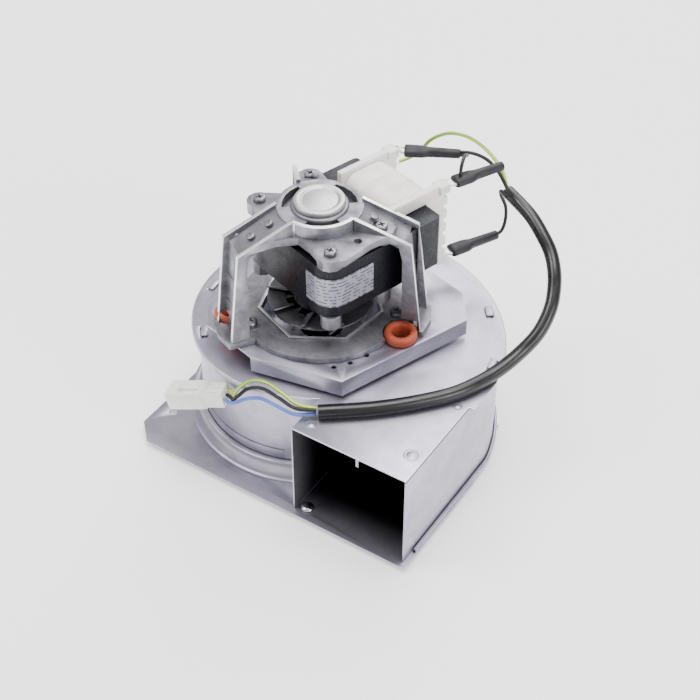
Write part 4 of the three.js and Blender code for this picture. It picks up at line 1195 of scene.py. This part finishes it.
def winding():
    """The taped coil: a cushion between the flanges, with the edge of each band of tape just raised."""
    half, front, back, low, high = 16.7, 27.5, 55, 81.5, 120
    middle = Vector((0, (front + back) / 2 * MM, (low + high) / 2 * MM))
    turns = []
    for start, end, lift in ((-half, half, 0), (-14.6, -5.2, 0.14), (-4.8, 4.6, 0.2), (5.0, 14.4, 0.14)):
        turn = brick("turn", (start, front - lift, low - lift), (end, back + lift, high + lift))
        pick_long_edges(turn)
        bpy.ops.mesh.bevel(offset=(7.4 + lift) * MM, segments=10, affect="EDGES")
        bpy.ops.mesh.select_mode(type="VERT")
        bpy.ops.object.mode_set(mode="OBJECT")
        if not lift:
            for u in range(-15, 16, 3):
                open_up(turn)
                bpy.ops.mesh.bisect(plane_co=(u * MM, 0, 0), plane_no=(1, 0, 0))
                bpy.ops.object.mode_set(mode="OBJECT")
        for corner in turn.data.vertices:
            u = corner.co.x / (half * MM)
            swell = 0.984 + 0.012 * (1 - u * u)
            away = corner.co - middle
            corner.co = middle + Vector((away.x, away.y * swell, away.z * swell))
        if lift:
            soften(turn, 0.12)
        turns.append(turn)
    coil = smooth(place(gather("taped_coil", *turns), placed(MOTOR_TURN)), 45)
    dress(coil, TAPE, "coil_tape", "coil")

    finished_copy("bobbin_moulding", "bobbin", NYLON, "nylon", 0.35, 3, 28)


# Where each terminal blade leaves the bobbin, and the way it points in plan.
TERMINALS = (("left", -18.5, 119.6, 27), ("right", 18.5, 119.6, 62), ("lower", 18.5, 78, 62))


def sleeves():
    """Soft PVC sleeves: flat and full over the blade, a waist, then a round tail with a rolled end."""
    # Each section is a place along the sleeve and its half height and half width there.
    sections = (
        (0.0, 3.6, 2.1), (0.3, 4.0, 2.45), (1.2, 4.2, 2.6), (4.0, 4.15, 2.55), (8.6, 4.1, 2.55),
        (9.9, 3.7, 2.5), (11.0, 3.1, 2.45), (12.2, 2.7, 2.5), (13.4, 2.55, 2.55), (16.0, 2.5, 2.5),
        (25.8, 2.3, 2.3), (26.8, 2.35, 2.35), (27.3, 2.1, 2.1), (27.2, 1.2, 1.2), (24.5, 1.1, 1.1),
    )
    for name, u, z, heading in TERMINALS:
        x, y = in_motor(u, 61.5)
        dx, dy = ring(4.5, heading)
        select_none()
        bpy.ops.mesh.primitive_circle_add(
            vertices=36, radius=MM, fill_type="NGON", rotation=(0, math.pi / 2, 0)
        )
        sleeve = bpy.context.object
        sleeve.name = f"sleeve_{name}"
        settle(sleeve)
        open_up(sleeve)
        was = (0.0, 1.0, 1.0)
        for k, now in enumerate(sections):
            if k:
                pull(Vector(((now[0] - was[0]) * MM, 0, 0)))
            bpy.ops.transform.resize(value=(1, now[1] / was[1], now[2] / was[2]))
            was = now
        close_up(0.0001)
        apply(sleeve, "SUBSURF", levels=1, render_levels=1)
        smooth(place(sleeve, placed(heading, x + dx, y + dy, z)), 55)
        dress(sleeve, SLEEVE, "boot_plastic", f"terminal_boot_{name}")
        finished_copy(f"blade_{name}", f"terminal_{name}", STEEL, "bright_steel", 0.15)
    finished_copy("earth_blade", "earth_tab", STEEL, "bright_steel", 0.15)


def small_motor_pieces():
    finished_copy("end_shield", "lower_end_shield", CASTING, "cast_aluminium", 0.4, 3, 28)
    for side in ("left", "right"):
        finished_copy(f"shading_loop_{side}", f"shading_ring_{side}", COPPER, "copper", 0.5, 3, 28)
    # The label wraps the stack's front right corner, just clear of it.
    off = 0.35
    centre = (STACK_HALF - STACK_CORNER, STACK_FRONT + STACK_CORNER)
    bend = arc(*centre, STACK_CORNER + off, 270, 360, 20)
    outline = [(15.5, STACK_FRONT - off), *bend, (STACK_HALF + off, 6)]
    film = smooth(ribbon("label_film_piece", [in_motor(u, v) for u, v in outline], 93, 109, 0.12), 40)
    dress(film, LABEL, "label_film", "rating_label")


# ---- Rotor ----
def rotor_pieces():
    shaft_profile = [(0, 22), (2.0, 22), (2.5, 22.6), (2.5, 124.6), (2.0, 125.2), (0, 125.2)]
    turned_piece("shaft", shaft_profile, POLISHED, "bright_steel", "rotor_shaft", body="rotor")
    core_profile = [(2.65, 88.5), (12.3, 88.5), (12.7, 88.9), (12.7, 113.4), (12.3, 113.8), (2.65, 113.8)]
    turned_piece(
        "squirrel_cage", core_profile, VARNISHED, "laminations", "rotor_core", sides=64, body="rotor"
    )
    for name, cad_node, finish, slot, *rounding in (
        # The wheel takes the painted shade.
        ("radial_wheel", "impeller_wheel", SHADED_SHEET, "galvanised_sheet", 0.12, 1, 40),
        ("wheel_hub", "impeller_hub", BRASS, "sintered_bronze", 0.3, 2, 40),
        ("wheel_grub_screw", "impeller_set_screw", STEEL, "bright_steel", 0.2, 2, 40),
    ):
        finished_copy(name, cad_node, finish, slot, *rounding, body="rotor")
    cooler = soften(copy_of("cooling_fan_sheet", "cooling_fan"), 0.15)
    backing_profile = [(13.2, 72.0), (25.6, 72.0), (26, 72.3), (26, 72.9), (25.6, 73.2), (13.2, 73.2)]
    backing = smooth(turned("backing", backing_profile, sides=96), 40)
    cooler = gather("cooling_fan_sheet", cooler, backing)
    # The fan and its backing take the dark painted shade.
    dress(cooler, SHADED_FAN_SHEET, "galvanised_sheet", "cooling_fan", body="rotor")
    for name, cad_node, r, z in (
        ("thrust_washer", "thrust_washer_upper", 5, 115),
        ("slinger_disc", "heat_slinger", 9, 58),
    ):
        profile = [(2.65, z), (r - 0.2, z), (r, z + 0.2), (r, z + 0.6), (r - 0.2, z + 0.8), (2.65, z + 0.8)]
        turned_piece(name, profile, STEEL, "bright_steel", cad_node, body="rotor")


mounts_and_screws()
bracket()
lamination_stack()
winding()
sleeves()
small_motor_pieces()
rotor_pieces()
